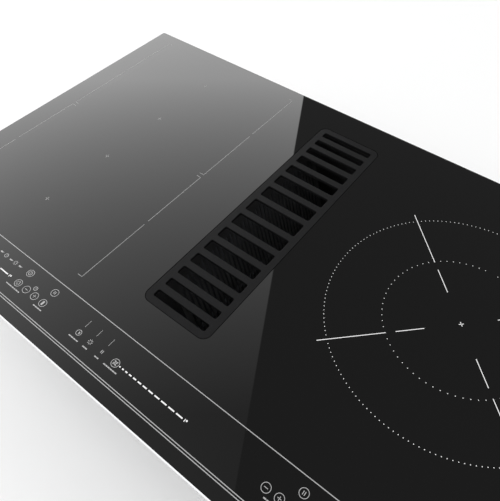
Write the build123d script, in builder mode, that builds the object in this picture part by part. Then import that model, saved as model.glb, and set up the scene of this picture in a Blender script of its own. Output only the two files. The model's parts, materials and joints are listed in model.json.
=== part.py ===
# Downdraft induction cooktop, 83 cm wide: a glass hob with a flex zone, a round zone and a
# central air intake, over a shallow casing, an intake shaft and a flat radial blower.
#
# Frame: X to the right, Y to the back, Z up, millimetres. The origin is on the surface that the
# unit stands on, under the centre of the glass.
from build123d import *
import os
from math import cos, degrees, hypot, radians, sin

os.makedirs("parts", exist_ok=True)

# --------------------------------------------------------------------------- driving dimensions
# Glass and worktop rim
HOB_W = 830.0
HOB_D = 515.0
HOB_H = 210.0
GLASS_T = 4.0
GLASS_R = 4.0
GLASS_BEVEL = 1.0
GASKET_T = 2.5
GASKET_W = 10.0
GASKET_INSET = 4.0

# Casing under the glass
RIM_SIDE_W = 30.0
RIM_END_W = 16.5
CASING_H = 60.0
CASING_R = 6.0
SHEET = 1.0
FRAME_LEG = 16.0
FRAME_FLANGE = 8.0
FRAME_PLAY = 0.3
SCREW_R = 1.5
SCREW_HEAD_R = 3.0
SCREW_HEAD_T = 1.6
SCREW_LEN = 6.0
SCREW_PLAY = 0.1
SEAM = 0.3
SEAM_INSET = 9.0
VENT_INSET = 34.0
VENT_LEN = 30.0
VENT_W = 4.5

# Air intake: grille in the glass, filter under it
INTAKE_X = -13.3
GRILLE_FRONT = 109.5
GRILLE_BACK = 45.0
GRILLE_W = 90.5
GRILLE_R = 10.0
GRILLE_GAP = 0.6
GRILLE_MARGIN = 8.9
GRILLE_EDGE = 0.3
SLOT_W = 73.25
SLOT_R = 2.2
SLOT_HEIGHTS = (21.75, 19.0, 16.75, 15.75, 14.5, 12.0, 10.75, 9.5)  # middle to ends
PAD_T = 1.5
PAD_W = 4.0
PAD_L = 12.0
PAD_SPACING = 140.0
LEDGE = 4.25
LEDGE_T = 2.5
SEAT_FLANGE = 7.0
FILTER_FLANGE_T = 1.0
FILTER_PLAY = 0.75
FILTER_WALL = 1.0
FILTER_DEPTH = 123.0
FILTER_KEEL_W = 15.0
FILTER_BAND = 9.0
FILTER_KEEL_H = 7.0
SCREEN_L = 286.0
SCREEN_PITCH = 6.5
SCREEN_SLOT = 3.2
SCREEN_EDGE = 4.0

# Intake shaft, sump and drip tray
SHAFT_PLAY = 1.25
SHAFT_WALL = 2.5
SHAFT_SEAL_T = 2.0
SHAFT_FLANGE = 10.0
SHAFT_FLANGE_T = 3.0
WELL_PLAY = 2.0
WINDOW_EDGE = 6.0
SUMP_H = 40.0
SUMP_LEDGE = 6.5
SUMP_LEDGE_T = 3.0
TRAY_PLAY = 0.6
TRAY_WALL = 2.0
TRAY_RIM = 3.0
TRAY_RIM_T = 2.0
TRAY_SEAL_T = 2.0
TRAY_LIFT = 3.0

# Blower with a vertical axis
BLOWER_X = 168.0
THROAT_DEPTH = 143.0
BLOWER_H = 89.0
BLOWER_WALL = 2.5
COVER_T = 3.0
SCROLL_GAP = 12.0
SCROLL_GROWTH = 44.0
TONGUE_ANGLE = 50.0
SCROLL_POINTS = 11
THROAT_LEN = 90.0
EYE_R = 60.0
EYE_LIP = 9.0
IMPELLER_R = 84.0
IMPELLER_RING = 20.0
IMPELLER_PLATE_T = 2.0
IMPELLER_LIFT = 14.0
IMPELLER_H = 60.0
BLADE_COUNT = 36
BLADE_SWEEP = 14.0
BLADE_T_ANGLE = 1.1
BLADE_INNER = 17.0
PLENUM_W = 250.0
PLENUM_FRONT = 42.75
PLENUM_BACK = 63.25
PLENUM_R = 12.0
PLENUM_GAP = 3.0
FOOT_INSET = 30.0

# Motor inside the impeller's hub
MOUNT_R = 52.0
MOUNT_T = 3.0
BUSH_R = 7.0
BUSH_T = 3.5
BUSH_CIRCLE_R = 43.0
STATOR_R = 33.0
STATOR_H = 26.0
TUBE_R = 14.0
TUBE_H = 38.0
ROTOR_R = 40.0
ROTOR_WALL = 3.0
ROTOR_H = 36.0
ROTOR_GAP = 4.0
SHAFT_R = 3.0
BEARING_R = 9.5
BEARING_T = 6.0
RUNNING_PLAY = 0.05

# Outlet duct with the non-return flap
DUCT_X = 256.0
DUCT_W = 222.0
DUCT_WALL = 2.0
DUCT_LEN = 76.0
EAR_W = 14.0
EAR_T = 3.0
EAR_HOLE_R = 2.2
EAR_SPACING_Z = 50.0
EAR_INSET = 7.0
FLAP_T = 1.4
FLAP_PLAY = 1.5
FLAP_SETBACK = 9.0
FLAP_PIN_R = 1.5
FLAP_DROP = 5.0

# Heating zones
FLEX_INSET = 129.5
FLEX_FRONT = 86.6
FLEX_BACK = 22.2
FLEX_ENDS = 4.6
FLEX_GAP = 6.4
FLEX_COUNT = 4
FLEX_W = 236.0
FLEX_TURNS_W = 31.0
ROUND_INSET = 156.8
ZONE_R_Y = 31.9
ROUND_OUTER = (84.0, 138.0)
ROUND_INNER = (20.0, 78.0)
MICA_T = 1.0
WINDING_T = 5.0
FORMER_T = 2.5
FORMER_LIP = 1.5
FERRITE_T = 4.5
FERRITE_W = 12.0
CARRIER_T = 1.5
CARRIER_LIP = 5.0
SENSOR_R = 4.0
POST_R = 5.0
POST_INSET = 8.0

# Electronics
BOARD_T = 1.6
BOARD_LIFT = 6.0
BOARD_L_INSET = 25.0
BOARD_R_SHIFT = -40.2
BOARD_Y = 10.0
BOARD_W = 150.0
BOARD_D = 280.0
SINK_W = 40.0
SINK_D = 230.0
SINK_H = 28.0
SINK_FIN = 1.6
SINK_FINS = 7
SINK_BASE = 3.0
CAN_R = 10.0
CAN_H = 24.0
CAN_PITCH = 42.0
FAN_SIZE = 80.0
FAN_T = 20.0
FAN_BORE_R = 37.0
FAN_HUB_R = 13.0
FAN_TIP_PLAY = 1.2
FAN_BLADES = 7
FAN_BLADE_W = 15.0
FAN_LEAN = 38.0
FAN_L_FRONT = 71.75
FAN_R_Y = -25.0
FAN_L_GAP = 8.7
FAN_R_INSET = 23.0
CONTROL_W = 500.0
CONTROL_D = 40.0
CONTROL_INSET = 11.0
GUIDE_T = 6.0
TERMINAL_W = 66.0
TERMINAL_D = 34.0
TERMINAL_H = 22.0
TERMINAL_INSET = 70.0
GLAND_R = 5.5
GLAND_BODY_R = 9.0
GLAND_NUT_R = 11.0
GLAND_Z = 24.0
CLAMP_W = 22.0
CLAMP_H = 30.0
CLAMP_T = 1.5
CLAMP_ARM = 21.0
CLAMP_Y = 130.0
CLAMP_BOLT_R = 2.5
CLAMP_BOLT_LEN = 26.0
CLAMP_PAD_R = 6.0
CONTROLLER_W = 84.0
CONTROLLER_D = 120.0
CONTROLLER_H = 34.0

# --------------------------------------------------------------------------- levels and fits
casing_w = HOB_W - 2 * RIM_SIDE_W
casing_d = HOB_D - 2 * RIM_END_W
intake_y = (GRILLE_FRONT - GRILLE_BACK) / 2
grille_l = HOB_D - GRILLE_FRONT - GRILLE_BACK
glass_under = HOB_H - GLASS_T
worktop = glass_under - GASKET_T
casing_floor = glass_under - CASING_H
casing_inside = casing_floor + SHEET

cutout = (GRILLE_W + 2 * GRILLE_GAP, grille_l + 2 * GRILLE_GAP, GRILLE_R + GRILLE_GAP)
flange_top = glass_under - PAD_T
ledge_top = flange_top - FILTER_FLANGE_T
seat_bottom = ledge_top - LEDGE_T
seat_hole = (GRILLE_W - 2 * LEDGE, grille_l - 2 * LEDGE, GRILLE_R - LEDGE)
shaft_in = (GRILLE_W + 2 * SHAFT_PLAY, grille_l + 2 * SHAFT_PLAY, GRILLE_R + SHAFT_PLAY)
shaft_out = tuple(size + grow * SHAFT_WALL for size, grow in zip(shaft_in, (2, 2, 1)))
shaft_top = seat_bottom - SHAFT_SEAL_T
plenum_top = casing_floor - PLENUM_GAP
shaft_right = INTAKE_X + shaft_out[0] / 2
scroll_start = IMPELLER_R + SCROLL_GAP
scroll_end = scroll_start + SCROLL_GROWTH
duct_back = casing_d / 2
duct_front = duct_back - DUCT_LEN
blower_y = duct_front - THROAT_DEPTH
shaft_front = intake_y - shaft_out[1] / 2
plenum_l = shaft_out[1] - PLENUM_FRONT - PLENUM_BACK
plenum_y = shaft_front + PLENUM_FRONT + plenum_l / 2

zone_l_x = FLEX_INSET - casing_w / 2
zone_l_y = (FLEX_FRONT - FLEX_BACK) / 2
zone_r_x = casing_w / 2 - ROUND_INSET
flex_pitch = (HOB_D - FLEX_FRONT - FLEX_BACK - FLEX_ENDS) / FLEX_COUNT
flex_d = flex_pitch - FLEX_GAP
board_l_x = BOARD_L_INSET + (BOARD_W - casing_w) / 2
board_r_x = zone_r_x + BOARD_R_SHIFT
control_y = CONTROL_INSET + (CONTROL_D - casing_d) / 2
terminal_x = TERMINAL_INSET - casing_w / 2
fan_spots = {
    "left": (INTAKE_X - shaft_out[0] / 2 - WELL_PLAY - FAN_L_GAP - FAN_SIZE / 2, shaft_front + FAN_L_FRONT),
    "right": ((casing_w - FAN_SIZE) / 2 - FAN_R_INSET, FAN_R_Y),
}


def level(z, x=0.0, y=0.0):
    """Horizontal plane at height z with its origin over (x, y)."""
    return Plane(origin=(x, y, z))


def wall(x, y, z, facing_x, facing_y):
    """Upright plane at a point, facing outwards, with its own y axis pointing up."""
    return Plane(origin=(x, y, z), x_dir=(-facing_y, facing_x, 0), z_dir=(facing_x, facing_y, 0))


def grown(size, amount):
    """A rounded rectangle (width, length, radius) made larger all round."""
    return (size[0] + 2 * amount, size[1] + 2 * amount, size[2] + amount)


def ring(outer, inner):
    """Draw a rounded rectangle with a rounded rectangular hole."""
    RectangleRounded(*outer)
    RectangleRounded(*inner, mode=Mode.SUBTRACT)


def polar(radius, angle):
    """Point on a circle round the plane's origin, angle in degrees."""
    return (radius * cos(radians(angle)), radius * sin(radians(angle)))


# --------------------------------------------------------------------------- glass and casing
with BuildPart() as glass_top:
    with BuildSketch(level(glass_under)):
        RectangleRounded(HOB_W, HOB_D, GLASS_R)
        with Locations((INTAKE_X, intake_y)):
            RectangleRounded(*cutout, mode=Mode.SUBTRACT)
    extrude(amount=GLASS_T)
    rim = glass_top.faces().sort_by(Axis.Z)[-1].outer_wire().edges()
    chamfer(rim, GLASS_BEVEL)
glass_top.part.label = "glass_top"
export_step(glass_top.part, "parts/glass_top.step")

gasket_out = (HOB_W - 2 * GASKET_INSET, HOB_D - 2 * GASKET_INSET, GLASS_R)
gasket_in = (gasket_out[0] - 2 * GASKET_W, gasket_out[1] - 2 * GASKET_W, GLASS_R)
with BuildPart() as rim_gasket:
    with BuildSketch(level(worktop)):
        ring(gasket_out, gasket_in)
    extrude(amount=GASKET_T)
rim_gasket.part.label = "rim_gasket"
export_step(rim_gasket.part, "parts/rim_gasket.step")

# Screws go through the casing's walls into the leg of the frame that is bonded to the glass.
screw_z = glass_under - FRAME_LEG / 2
screw_planes = []
for side in (-1, 1):
    for part in (-0.38, 0, 0.38):
        screw_planes.append(wall(part * casing_w, side * casing_d / 2, screw_z, 0, side))
    for part in (-0.36, 0.36):
        screw_planes.append(wall(side * casing_w / 2, part * casing_d, screw_z, side, 0))

frame_out = grown((casing_w, casing_d, CASING_R), -SHEET - FRAME_PLAY)
with BuildPart() as glass_frame:
    with BuildSketch(level(glass_under - FRAME_LEG)):
        ring(frame_out, grown(frame_out, -SHEET))
    extrude(amount=FRAME_LEG)
    with BuildSketch(level(glass_under - SHEET)):
        ring(frame_out, (frame_out[0] - 2 * FRAME_FLANGE, frame_out[1] - 2 * FRAME_FLANGE, SHEET))
    extrude(amount=SHEET)
    with BuildSketch(*screw_planes):
        Circle(SCREW_R + SCREW_PLAY)
    extrude(amount=-SCREW_LEN, mode=Mode.SUBTRACT)
glass_frame.part.label = "glass_frame"
export_step(glass_frame.part, "parts/glass_frame.step")

gland_plane = wall(terminal_x, casing_d / 2, casing_floor + GLAND_Z, 0, 1)
well = grown(shaft_out, WELL_PLAY)
vent_y = VENT_INSET - casing_d / 2
with BuildPart() as casing_floor_plate:
    with BuildSketch(level(casing_floor)):
        RectangleRounded(casing_w, casing_d, CASING_R)
        with Locations((INTAKE_X, intake_y)):
            RectangleRounded(*well, mode=Mode.SUBTRACT)
        with Locations(*fan_spots.values()):
            with GridLocations(0, 2 * VENT_W, 1, 7):
                SlotOverall(FAN_SIZE - 4 * VENT_W, VENT_W, mode=Mode.SUBTRACT)
        with Locations((board_l_x, vent_y), (board_r_x, vent_y)):
            with GridLocations(3 * VENT_W, 0, 12, 1):
                SlotOverall(VENT_LEN, VENT_W, rotation=90, mode=Mode.SUBTRACT)
    extrude(amount=SHEET)
casing_floor_plate.part.label = "casing_floor"
export_step(casing_floor_plate.part, "parts/casing_floor.step")

# Front and back panels are folded round the corners and meet the side panels at a narrow seam.
casing_out = (casing_w, casing_d, CASING_R)
with BuildPart() as casing_walls:
    with BuildSketch(level(casing_inside)):
        ring(casing_out, grown(casing_out, -SHEET))
        with GridLocations(casing_w - SHEET, casing_d - 2 * SEAM_INSET, 2, 2):
            Rectangle(2 * SHEET, SEAM, mode=Mode.SUBTRACT)
    extrude(amount=CASING_H - SHEET)
    with BuildSketch(wall(0, casing_d / 2, casing_floor + CASING_H * 0.4, 0, 1)):
        with Locations((-board_r_x, 0), (-board_l_x - BOARD_W / 2, 0)):
            with GridLocations(2.5 * VENT_W, 0, 12, 1):
                SlotOverall(VENT_LEN * 0.75, VENT_W, rotation=90)
    extrude(amount=-SHEET, mode=Mode.SUBTRACT)
    with BuildSketch(gland_plane):
        Circle(GLAND_BODY_R + SCREW_PLAY)
    extrude(amount=-SHEET, mode=Mode.SUBTRACT)
    with BuildSketch(*screw_planes):
        Circle(SCREW_R + SCREW_PLAY)
    extrude(amount=-SCREW_LEN, mode=Mode.SUBTRACT)
casing_walls.part.label = "casing_walls"
export_step(casing_walls.part, "parts/casing_walls.step")

with BuildPart() as casing_screws:
    with BuildSketch(*screw_planes):
        Circle(SCREW_HEAD_R)
    extrude(amount=SCREW_HEAD_T)
    with BuildSketch(*screw_planes):
        Circle(SCREW_R)
    extrude(amount=-SCREW_LEN)
casing_screws.part.label = "casing_screws"
export_step(casing_screws.part, "parts/casing_screws.step")

# Clamps on the casing's sides hold the hob against the underside of the worktop.
clamp_z = casing_floor + CLAMP_H / 2
clamp_spots = [(side, y) for side in (-1, 1) for y in (-CLAMP_Y, CLAMP_Y)]
with BuildPart() as mount_clamps:
    for side, y in clamp_spots:
        with BuildSketch(wall(side * casing_w / 2, y, clamp_z, side, 0)):
            Rectangle(CLAMP_W, CLAMP_H)
        extrude(amount=CLAMP_T)
        with BuildSketch(level(casing_floor, side * (casing_w / 2 + CLAMP_ARM / 2), y)):
            RectangleRounded(CLAMP_ARM, CLAMP_W, 1.2)
        extrude(amount=CLAMP_T)
        with BuildSketch(level(casing_floor, side * (casing_w / 2 + CLAMP_ARM - CLAMP_PAD_R), y)):
            Circle(CLAMP_BOLT_R + SCREW_PLAY)
        extrude(amount=CLAMP_T, mode=Mode.SUBTRACT)
mount_clamps.part.label = "mount_clamps"
export_step(mount_clamps.part, "parts/mount_clamps.step")

with BuildPart() as clamp_bolts:
    for side, y in clamp_spots:
        bolt_x = side * (casing_w / 2 + CLAMP_ARM - CLAMP_PAD_R)
        with BuildSketch(level(casing_floor - CLAMP_PAD_R, bolt_x, y)):
            Circle(CLAMP_BOLT_R)
        extrude(amount=CLAMP_BOLT_LEN)
        with BuildSketch(level(casing_floor + CLAMP_BOLT_LEN - CLAMP_PAD_R, bolt_x, y)):
            Circle(CLAMP_PAD_R)
        extrude(amount=CLAMP_T)
        with BuildSketch(level(casing_floor - 3 * CLAMP_T, bolt_x, y)):
            RegularPolygon(2 * CLAMP_BOLT_R, 6)
        extrude(amount=3 * CLAMP_T)
clamp_bolts.part.label = "clamp_bolts"
export_step(clamp_bolts.part, "parts/clamp_bolts.step")

# --------------------------------------------------------------------------- grille and filter
slot_heights = SLOT_HEIGHTS[:0:-1] + SLOT_HEIGHTS
slot_bar = (grille_l - 2 * GRILLE_MARGIN - sum(slot_heights)) / (len(slot_heights) - 1)
with BuildPart() as grille:
    with BuildSketch(level(glass_under, INTAKE_X, intake_y)):
        RectangleRounded(GRILLE_W, grille_l, GRILLE_R)
        edge = -grille_l / 2 + GRILLE_MARGIN
        for height in slot_heights:
            with Locations((0, edge + height / 2)):
                RectangleRounded(SLOT_W, height, SLOT_R, mode=Mode.SUBTRACT)
            edge += height + slot_bar
    extrude(amount=GLASS_T)
    chamfer(grille.faces().sort_by(Axis.Z)[-1].edges(), GRILLE_EDGE)
grille.part.label = "grille"
export_step(grille.part, "parts/grille.step")

flange = grown((GRILLE_W, grille_l, GRILLE_R), -(cutout[0] - GRILLE_W) / 4)
basket_w = seat_hole[0] - 2 * FILTER_PLAY
basket_l = seat_hole[1] - 2 * FILTER_PLAY
pad_x = (flange[0] + basket_w) / 4 - FILTER_WALL / 2
with BuildPart() as grille_pads:
    with BuildSketch(level(flange_top, INTAKE_X, intake_y)):
        with GridLocations(2 * pad_x, PAD_SPACING, 2, 3):
            RectangleRounded(PAD_W, PAD_L, 1)
    extrude(amount=PAD_T)
grille_pads.part.label = "grille_pads"
export_step(grille_pads.part, "parts/grille_pads.step")

seat_out = grown(shaft_out, SEAT_FLANGE)
seat_step = grown(cutout, GRILLE_GAP)
with BuildPart() as grille_seat:
    with BuildSketch(level(seat_bottom, INTAKE_X, intake_y)):
        ring(seat_out, seat_hole)
    extrude(amount=LEDGE_T)
    with BuildSketch(level(ledge_top, INTAKE_X, intake_y)):
        ring(seat_out, seat_step)
    extrude(amount=glass_under - ledge_top)
grille_seat.part.label = "grille_seat"
export_step(grille_seat.part, "parts/grille_seat.step")

# The basket is a trough: two sloping sides that hold the screens, and upright ends.
keel_z = flange_top - FILTER_DEPTH
side_lean = (basket_w - FILTER_KEEL_W) / 2 / FILTER_DEPTH
wall_x = FILTER_WALL * hypot(1, side_lean)


def half_width(z, inset=0.0):
    """Half the basket's outer width at height z, less an inset."""
    return FILTER_KEEL_W / 2 + side_lean * (z - keel_z) - inset


def cross_section():
    """Upright plane across the basket: x to the right, y up."""
    return Plane(origin=(INTAKE_X, intake_y, 0), x_dir=(1, 0, 0), z_dir=(0, -1, 0))


def trough(z_low, z_high, inset):
    """Draw the basket's section between two heights."""
    Polygon(
        (-half_width(z_high, inset), z_high),
        (half_width(z_high, inset), z_high),
        (half_width(z_low, inset), z_low),
        (-half_width(z_low, inset), z_low),
        align=None,
    )


screen_low = keel_z + FILTER_KEEL_H
screen_high = flange_top - FILTER_BAND
side_plane = wall(INTAKE_X, intake_y, (screen_low + screen_high) / 2, 1, 0)
basket_r = seat_hole[2] - FILTER_PLAY
with BuildPart() as basket_space:
    with BuildSketch(cross_section()):
        trough(keel_z + FILTER_WALL, flange_top, wall_x)
    extrude(amount=basket_l / 2 - FILTER_WALL, both=True)
    with BuildSketch(level(keel_z, INTAKE_X, intake_y)):
        RectangleRounded(basket_w - 2 * wall_x, basket_l - 2 * FILTER_WALL, basket_r - FILTER_WALL)
    extrude(amount=FILTER_DEPTH, mode=Mode.INTERSECT)

with BuildPart() as filter_frame:
    with BuildSketch(cross_section()):
        trough(keel_z, flange_top, 0)
    extrude(amount=basket_l / 2, both=True)
    with BuildSketch(level(keel_z, INTAKE_X, intake_y)):
        RectangleRounded(basket_w, basket_l, basket_r)
    extrude(amount=FILTER_DEPTH, mode=Mode.INTERSECT)
    with BuildSketch(level(ledge_top, INTAKE_X, intake_y)):
        RectangleRounded(*flange)
    extrude(amount=FILTER_FLANGE_T)
    add(basket_space.part, mode=Mode.SUBTRACT)
    with BuildSketch(side_plane):
        Rectangle(SCREEN_L, screen_high - screen_low)
    extrude(amount=GRILLE_W, both=True, mode=Mode.SUBTRACT)
filter_frame.part.label = "filter_frame"
export_step(filter_frame.part, "parts/filter_frame.step")

screen_slots = int((SCREEN_L - 2 * SCREEN_EDGE) / SCREEN_PITCH)
for side, name in ((-1, "filter_screen_left"), (1, "filter_screen_right")):
    with BuildPart() as screen:
        with BuildSketch(cross_section()):
            Polygon(
                (side * half_width(screen_high), screen_high),
                (side * half_width(screen_high, wall_x), screen_high),
                (side * half_width(screen_low, wall_x), screen_low),
                (side * half_width(screen_low), screen_low),
                align=None,
            )
        extrude(amount=SCREEN_L / 2, both=True)
        with BuildSketch(side_plane):
            with GridLocations(SCREEN_PITCH, 0, screen_slots, 1):
                Rectangle(SCREEN_SLOT, screen_high - screen_low - 2 * SCREEN_EDGE)
        extrude(amount=GRILLE_W, both=True, mode=Mode.SUBTRACT)
    screen.part.label = name
    export_step(screen.part, f"parts/{name}.step")

# --------------------------------------------------------------------------- intake shaft, sump
with BuildPart() as shaft_seal:
    with BuildSketch(level(shaft_top, INTAKE_X, intake_y)):
        ring(shaft_out, shaft_in)
    extrude(amount=SHAFT_SEAL_T)
shaft_seal.part.label = "shaft_seal"
export_step(shaft_seal.part, "parts/shaft_seal.step")

lower_flange = grown(shaft_out, SHAFT_FLANGE / 2)
upper_flange = grown(shaft_out, SHAFT_FLANGE)
window_low = BLOWER_H + BLOWER_WALL
window_high = plenum_top - BLOWER_WALL
flange_spots = [
    (side * (shaft_out[0] + SHAFT_FLANGE) / 2, part * shaft_out[1] / 2)
    for side, parts in ((-1, (-0.8, -0.27, 0.27, 0.8)), (1, (-0.88, 0.88)))
    for part in parts
]
with BuildPart() as intake_shaft:
    with BuildSketch(level(SUMP_H, INTAKE_X, intake_y)):
        ring(shaft_out, shaft_in)
    extrude(amount=shaft_top - SUMP_H)
    with BuildSketch(level(SUMP_H, INTAKE_X, intake_y)):
        ring(lower_flange, shaft_in)
    extrude(amount=SHAFT_FLANGE_T)
    with BuildSketch(level(casing_floor - SHAFT_FLANGE_T, INTAKE_X, intake_y)):
        ring(upper_flange, shaft_in)
        with Locations(*flange_spots):
            Circle(SCREW_R + SCREW_PLAY, mode=Mode.SUBTRACT)
    extrude(amount=SHAFT_FLANGE_T)
    with BuildSketch(wall(shaft_right, plenum_y, (window_low + window_high) / 2, 1, 0)):
        Rectangle(plenum_l - 2 * WINDOW_EDGE, window_high - window_low)
    extrude(amount=-3 * SHAFT_WALL, mode=Mode.SUBTRACT)
intake_shaft.part.label = "intake_shaft"
export_step(intake_shaft.part, "parts/intake_shaft.step")

with BuildPart() as shaft_screws:
    for x, y in flange_spots:
        with BuildSketch(level(casing_floor, INTAKE_X + x, intake_y + y)):
            Circle(SCREW_R)
        extrude(amount=-SHAFT_FLANGE_T)
        with BuildSketch(level(casing_floor - SHAFT_FLANGE_T, INTAKE_X + x, intake_y + y)):
            Circle(SCREW_HEAD_R)
        extrude(amount=-SCREW_HEAD_T)
shaft_screws.part.label = "shaft_screws"
export_step(shaft_screws.part, "parts/shaft_screws.step")

tray_rim_out = grown(shaft_in, -TRAY_PLAY)
tray_body = grown(tray_rim_out, -TRAY_RIM)
tray_top = SUMP_H - SUMP_LEDGE_T - TRAY_SEAL_T
with BuildPart() as sump:
    with BuildSketch(level(0, INTAKE_X, intake_y)):
        ring(shaft_out, shaft_in)
    extrude(amount=SUMP_H)
    with BuildSketch(level(SUMP_H - SUMP_LEDGE_T, INTAKE_X, intake_y)):
        ring(lower_flange, grown(shaft_in, -SUMP_LEDGE))
    extrude(amount=SUMP_LEDGE_T)
sump.part.label = "sump"
export_step(sump.part, "parts/sump.step")

with BuildPart() as tray_seal:
    with BuildSketch(level(tray_top, INTAKE_X, intake_y)):
        ring(grown(tray_rim_out, -1), grown(shaft_in, -SUMP_LEDGE + 1))
    extrude(amount=TRAY_SEAL_T)
tray_seal.part.label = "tray_seal"
export_step(tray_seal.part, "parts/tray_seal.step")

with BuildPart() as drip_tray:
    with BuildSketch(level(TRAY_LIFT, INTAKE_X, intake_y)):
        RectangleRounded(*tray_body)
    extrude(amount=tray_top - TRAY_LIFT)
    with BuildSketch(level(tray_top - TRAY_RIM_T, INTAKE_X, intake_y)):
        RectangleRounded(*tray_rim_out)
    extrude(amount=TRAY_RIM_T)
    with BuildSketch(level(TRAY_LIFT + TRAY_WALL, INTAKE_X, intake_y)):
        RectangleRounded(*grown(tray_body, -TRAY_WALL))
    extrude(amount=tray_top, mode=Mode.SUBTRACT)
drip_tray.part.label = "drip_tray"
export_step(drip_tray.part, "parts/drip_tray.step")

# --------------------------------------------------------------------------- blower
plenum_centre = (shaft_right + PLENUM_W / 2, plenum_y)


def scroll_line(inset):
    """Points of the scroll's spiral, from the tongue round to the throat."""
    points = []
    start = TONGUE_ANGLE - degrees(1.5 * inset / scroll_start)
    for step in range(SCROLL_POINTS):
        turn = step / (SCROLL_POINTS - 1)
        angle = start + turn * (360 - start)
        reach = scroll_start + turn * (scroll_end - scroll_start) - inset
        points.append((BLOWER_X + reach * cos(radians(angle)), blower_y + reach * sin(radians(angle))))
    return points


def scroll_edges(inset):
    """Corner points from the throat's end past the outlet and back to the tongue."""
    throat_x = BLOWER_X + scroll_end - inset
    tongue_x = scroll_line(0)[0][0] + inset
    return [
        (throat_x, blower_y),
        (throat_x, blower_y + THROAT_LEN),
        (DUCT_X + DUCT_W / 2 - inset, duct_front),
        (DUCT_X - DUCT_W / 2 + inset, duct_front),
        (tongue_x, blower_y + THROAT_LEN + inset / 2),
        scroll_line(inset)[0],
    ]


with BuildPart() as blower_scroll:
    with BuildSketch(level(0)) as scroll_outline:
        with BuildLine():
            Spline(*scroll_line(0))
            Polyline(*scroll_edges(0))
        make_face()
    extrude(amount=BLOWER_H - COVER_T)
    with BuildSketch(level(BLOWER_WALL)):
        with BuildLine():
            Spline(*scroll_line(BLOWER_WALL))
            Polyline(*scroll_edges(BLOWER_WALL))
        make_face()
    extrude(amount=BLOWER_H, mode=Mode.SUBTRACT)
    with BuildSketch(level(BLOWER_WALL, DUCT_X, duct_front)):
        Rectangle(DUCT_W - 2 * BLOWER_WALL, 4 * BLOWER_WALL)
    extrude(amount=BLOWER_H, mode=Mode.SUBTRACT)
blower_scroll.part.label = "blower_scroll"
export_step(blower_scroll.part, "parts/blower_scroll.step")

with BuildPart() as blower_cover:
    with BuildSketch(level(BLOWER_H - COVER_T)):
        add(scroll_outline.sketch)
        with Locations(plenum_centre):
            RectangleRounded(PLENUM_W, plenum_l, PLENUM_R)
        with Locations((shaft_right + PLENUM_R, plenum_y)):
            Rectangle(2 * PLENUM_R, plenum_l)
        with Locations((BLOWER_X, blower_y)):
            Circle(EYE_R, mode=Mode.SUBTRACT)
    extrude(amount=COVER_T)
    with BuildSketch(level(BLOWER_H - COVER_T, BLOWER_X, blower_y)):
        Circle(EYE_R + BLOWER_WALL)
        Circle(EYE_R, mode=Mode.SUBTRACT)
    extrude(amount=-EYE_LIP)
    fillet(blower_cover.faces().sort_by(Axis.Z)[-1].inner_wires()[0].edges(), COVER_T * 0.9)
blower_cover.part.label = "blower_cover"
export_step(blower_cover.part, "parts/blower_cover.step")

foot_spots = [
    (plenum_centre[0] + side * (PLENUM_W / 2 - FOOT_INSET), plenum_y + part * (plenum_l / 2 - FOOT_INSET))
    for side in (0, 1)
    for part in (-1, 1)
]
with BuildPart() as plenum:
    with BuildSketch(level(BLOWER_H, *plenum_centre)):
        RectangleRounded(PLENUM_W, plenum_l, PLENUM_R)
        with Locations((-PLENUM_W / 2 + PLENUM_R, 0)):
            Rectangle(2 * PLENUM_R, plenum_l)
    extrude(amount=plenum_top - BLOWER_H)
    with BuildSketch(level(BLOWER_H, *plenum_centre)):
        RectangleRounded(PLENUM_W - 2 * BLOWER_WALL, plenum_l - 2 * BLOWER_WALL, PLENUM_R - BLOWER_WALL)
        with Locations((-PLENUM_W / 2 + PLENUM_R, 0)):
            Rectangle(2 * PLENUM_R, plenum_l - 2 * BLOWER_WALL)
    extrude(amount=window_high - BLOWER_H, mode=Mode.SUBTRACT)
    with BuildSketch(level(plenum_top)):
        with Locations(*foot_spots):
            Circle(BUSH_R)
    extrude(amount=PLENUM_GAP)
plenum.part.label = "plenum"
export_step(plenum.part, "parts/plenum.step")

# Motor: a mount plate on three rubber bushes, a stator with its bearing tube, and a can rotor.
mount_z = BLOWER_WALL + BUSH_T
stator_z = mount_z + MOUNT_T
rotor_z = stator_z + ROTOR_GAP
with BuildPart() as motor_bushes:
    with BuildSketch(level(BLOWER_WALL, BLOWER_X, blower_y)):
        with PolarLocations(BUSH_CIRCLE_R, 3):
            Circle(BUSH_R)
    extrude(amount=BUSH_T)
motor_bushes.part.label = "motor_bushes"
export_step(motor_bushes.part, "parts/motor_bushes.step")

tube_top = stator_z + TUBE_H
bearing_levels = (stator_z + 1, tube_top - BEARING_T)
with BuildPart() as motor_stator:
    with BuildSketch(level(mount_z, BLOWER_X, blower_y)):
        Circle(MOUNT_R)
    extrude(amount=MOUNT_T)
    with BuildSketch(level(stator_z, BLOWER_X, blower_y)):
        Circle(TUBE_R)
    extrude(amount=TUBE_H)
    with BuildSketch(level(stator_z + ROTOR_GAP, BLOWER_X, blower_y)):
        Circle(STATOR_R)
        with PolarLocations((TUBE_R + STATOR_R) / 2, 12):
            SlotCenterToCenter((STATOR_R - TUBE_R) / 2, 4, mode=Mode.SUBTRACT)
    extrude(amount=STATOR_H)
    with BuildSketch(level(stator_z + 1, BLOWER_X, blower_y)):
        Circle(BEARING_R)
    extrude(amount=TUBE_H, mode=Mode.SUBTRACT)
motor_stator.part.label = "motor_stator"
export_step(motor_stator.part, "parts/motor_stator.step")

with BuildPart() as motor_bearings:
    for z in bearing_levels:
        with BuildSketch(level(z, BLOWER_X, blower_y)):
            Circle(BEARING_R - RUNNING_PLAY)
            Circle(SHAFT_R + RUNNING_PLAY, mode=Mode.SUBTRACT)
        extrude(amount=BEARING_T)
motor_bearings.part.label = "motor_bearings"
export_step(motor_bearings.part, "parts/motor_bearings.step")

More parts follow.
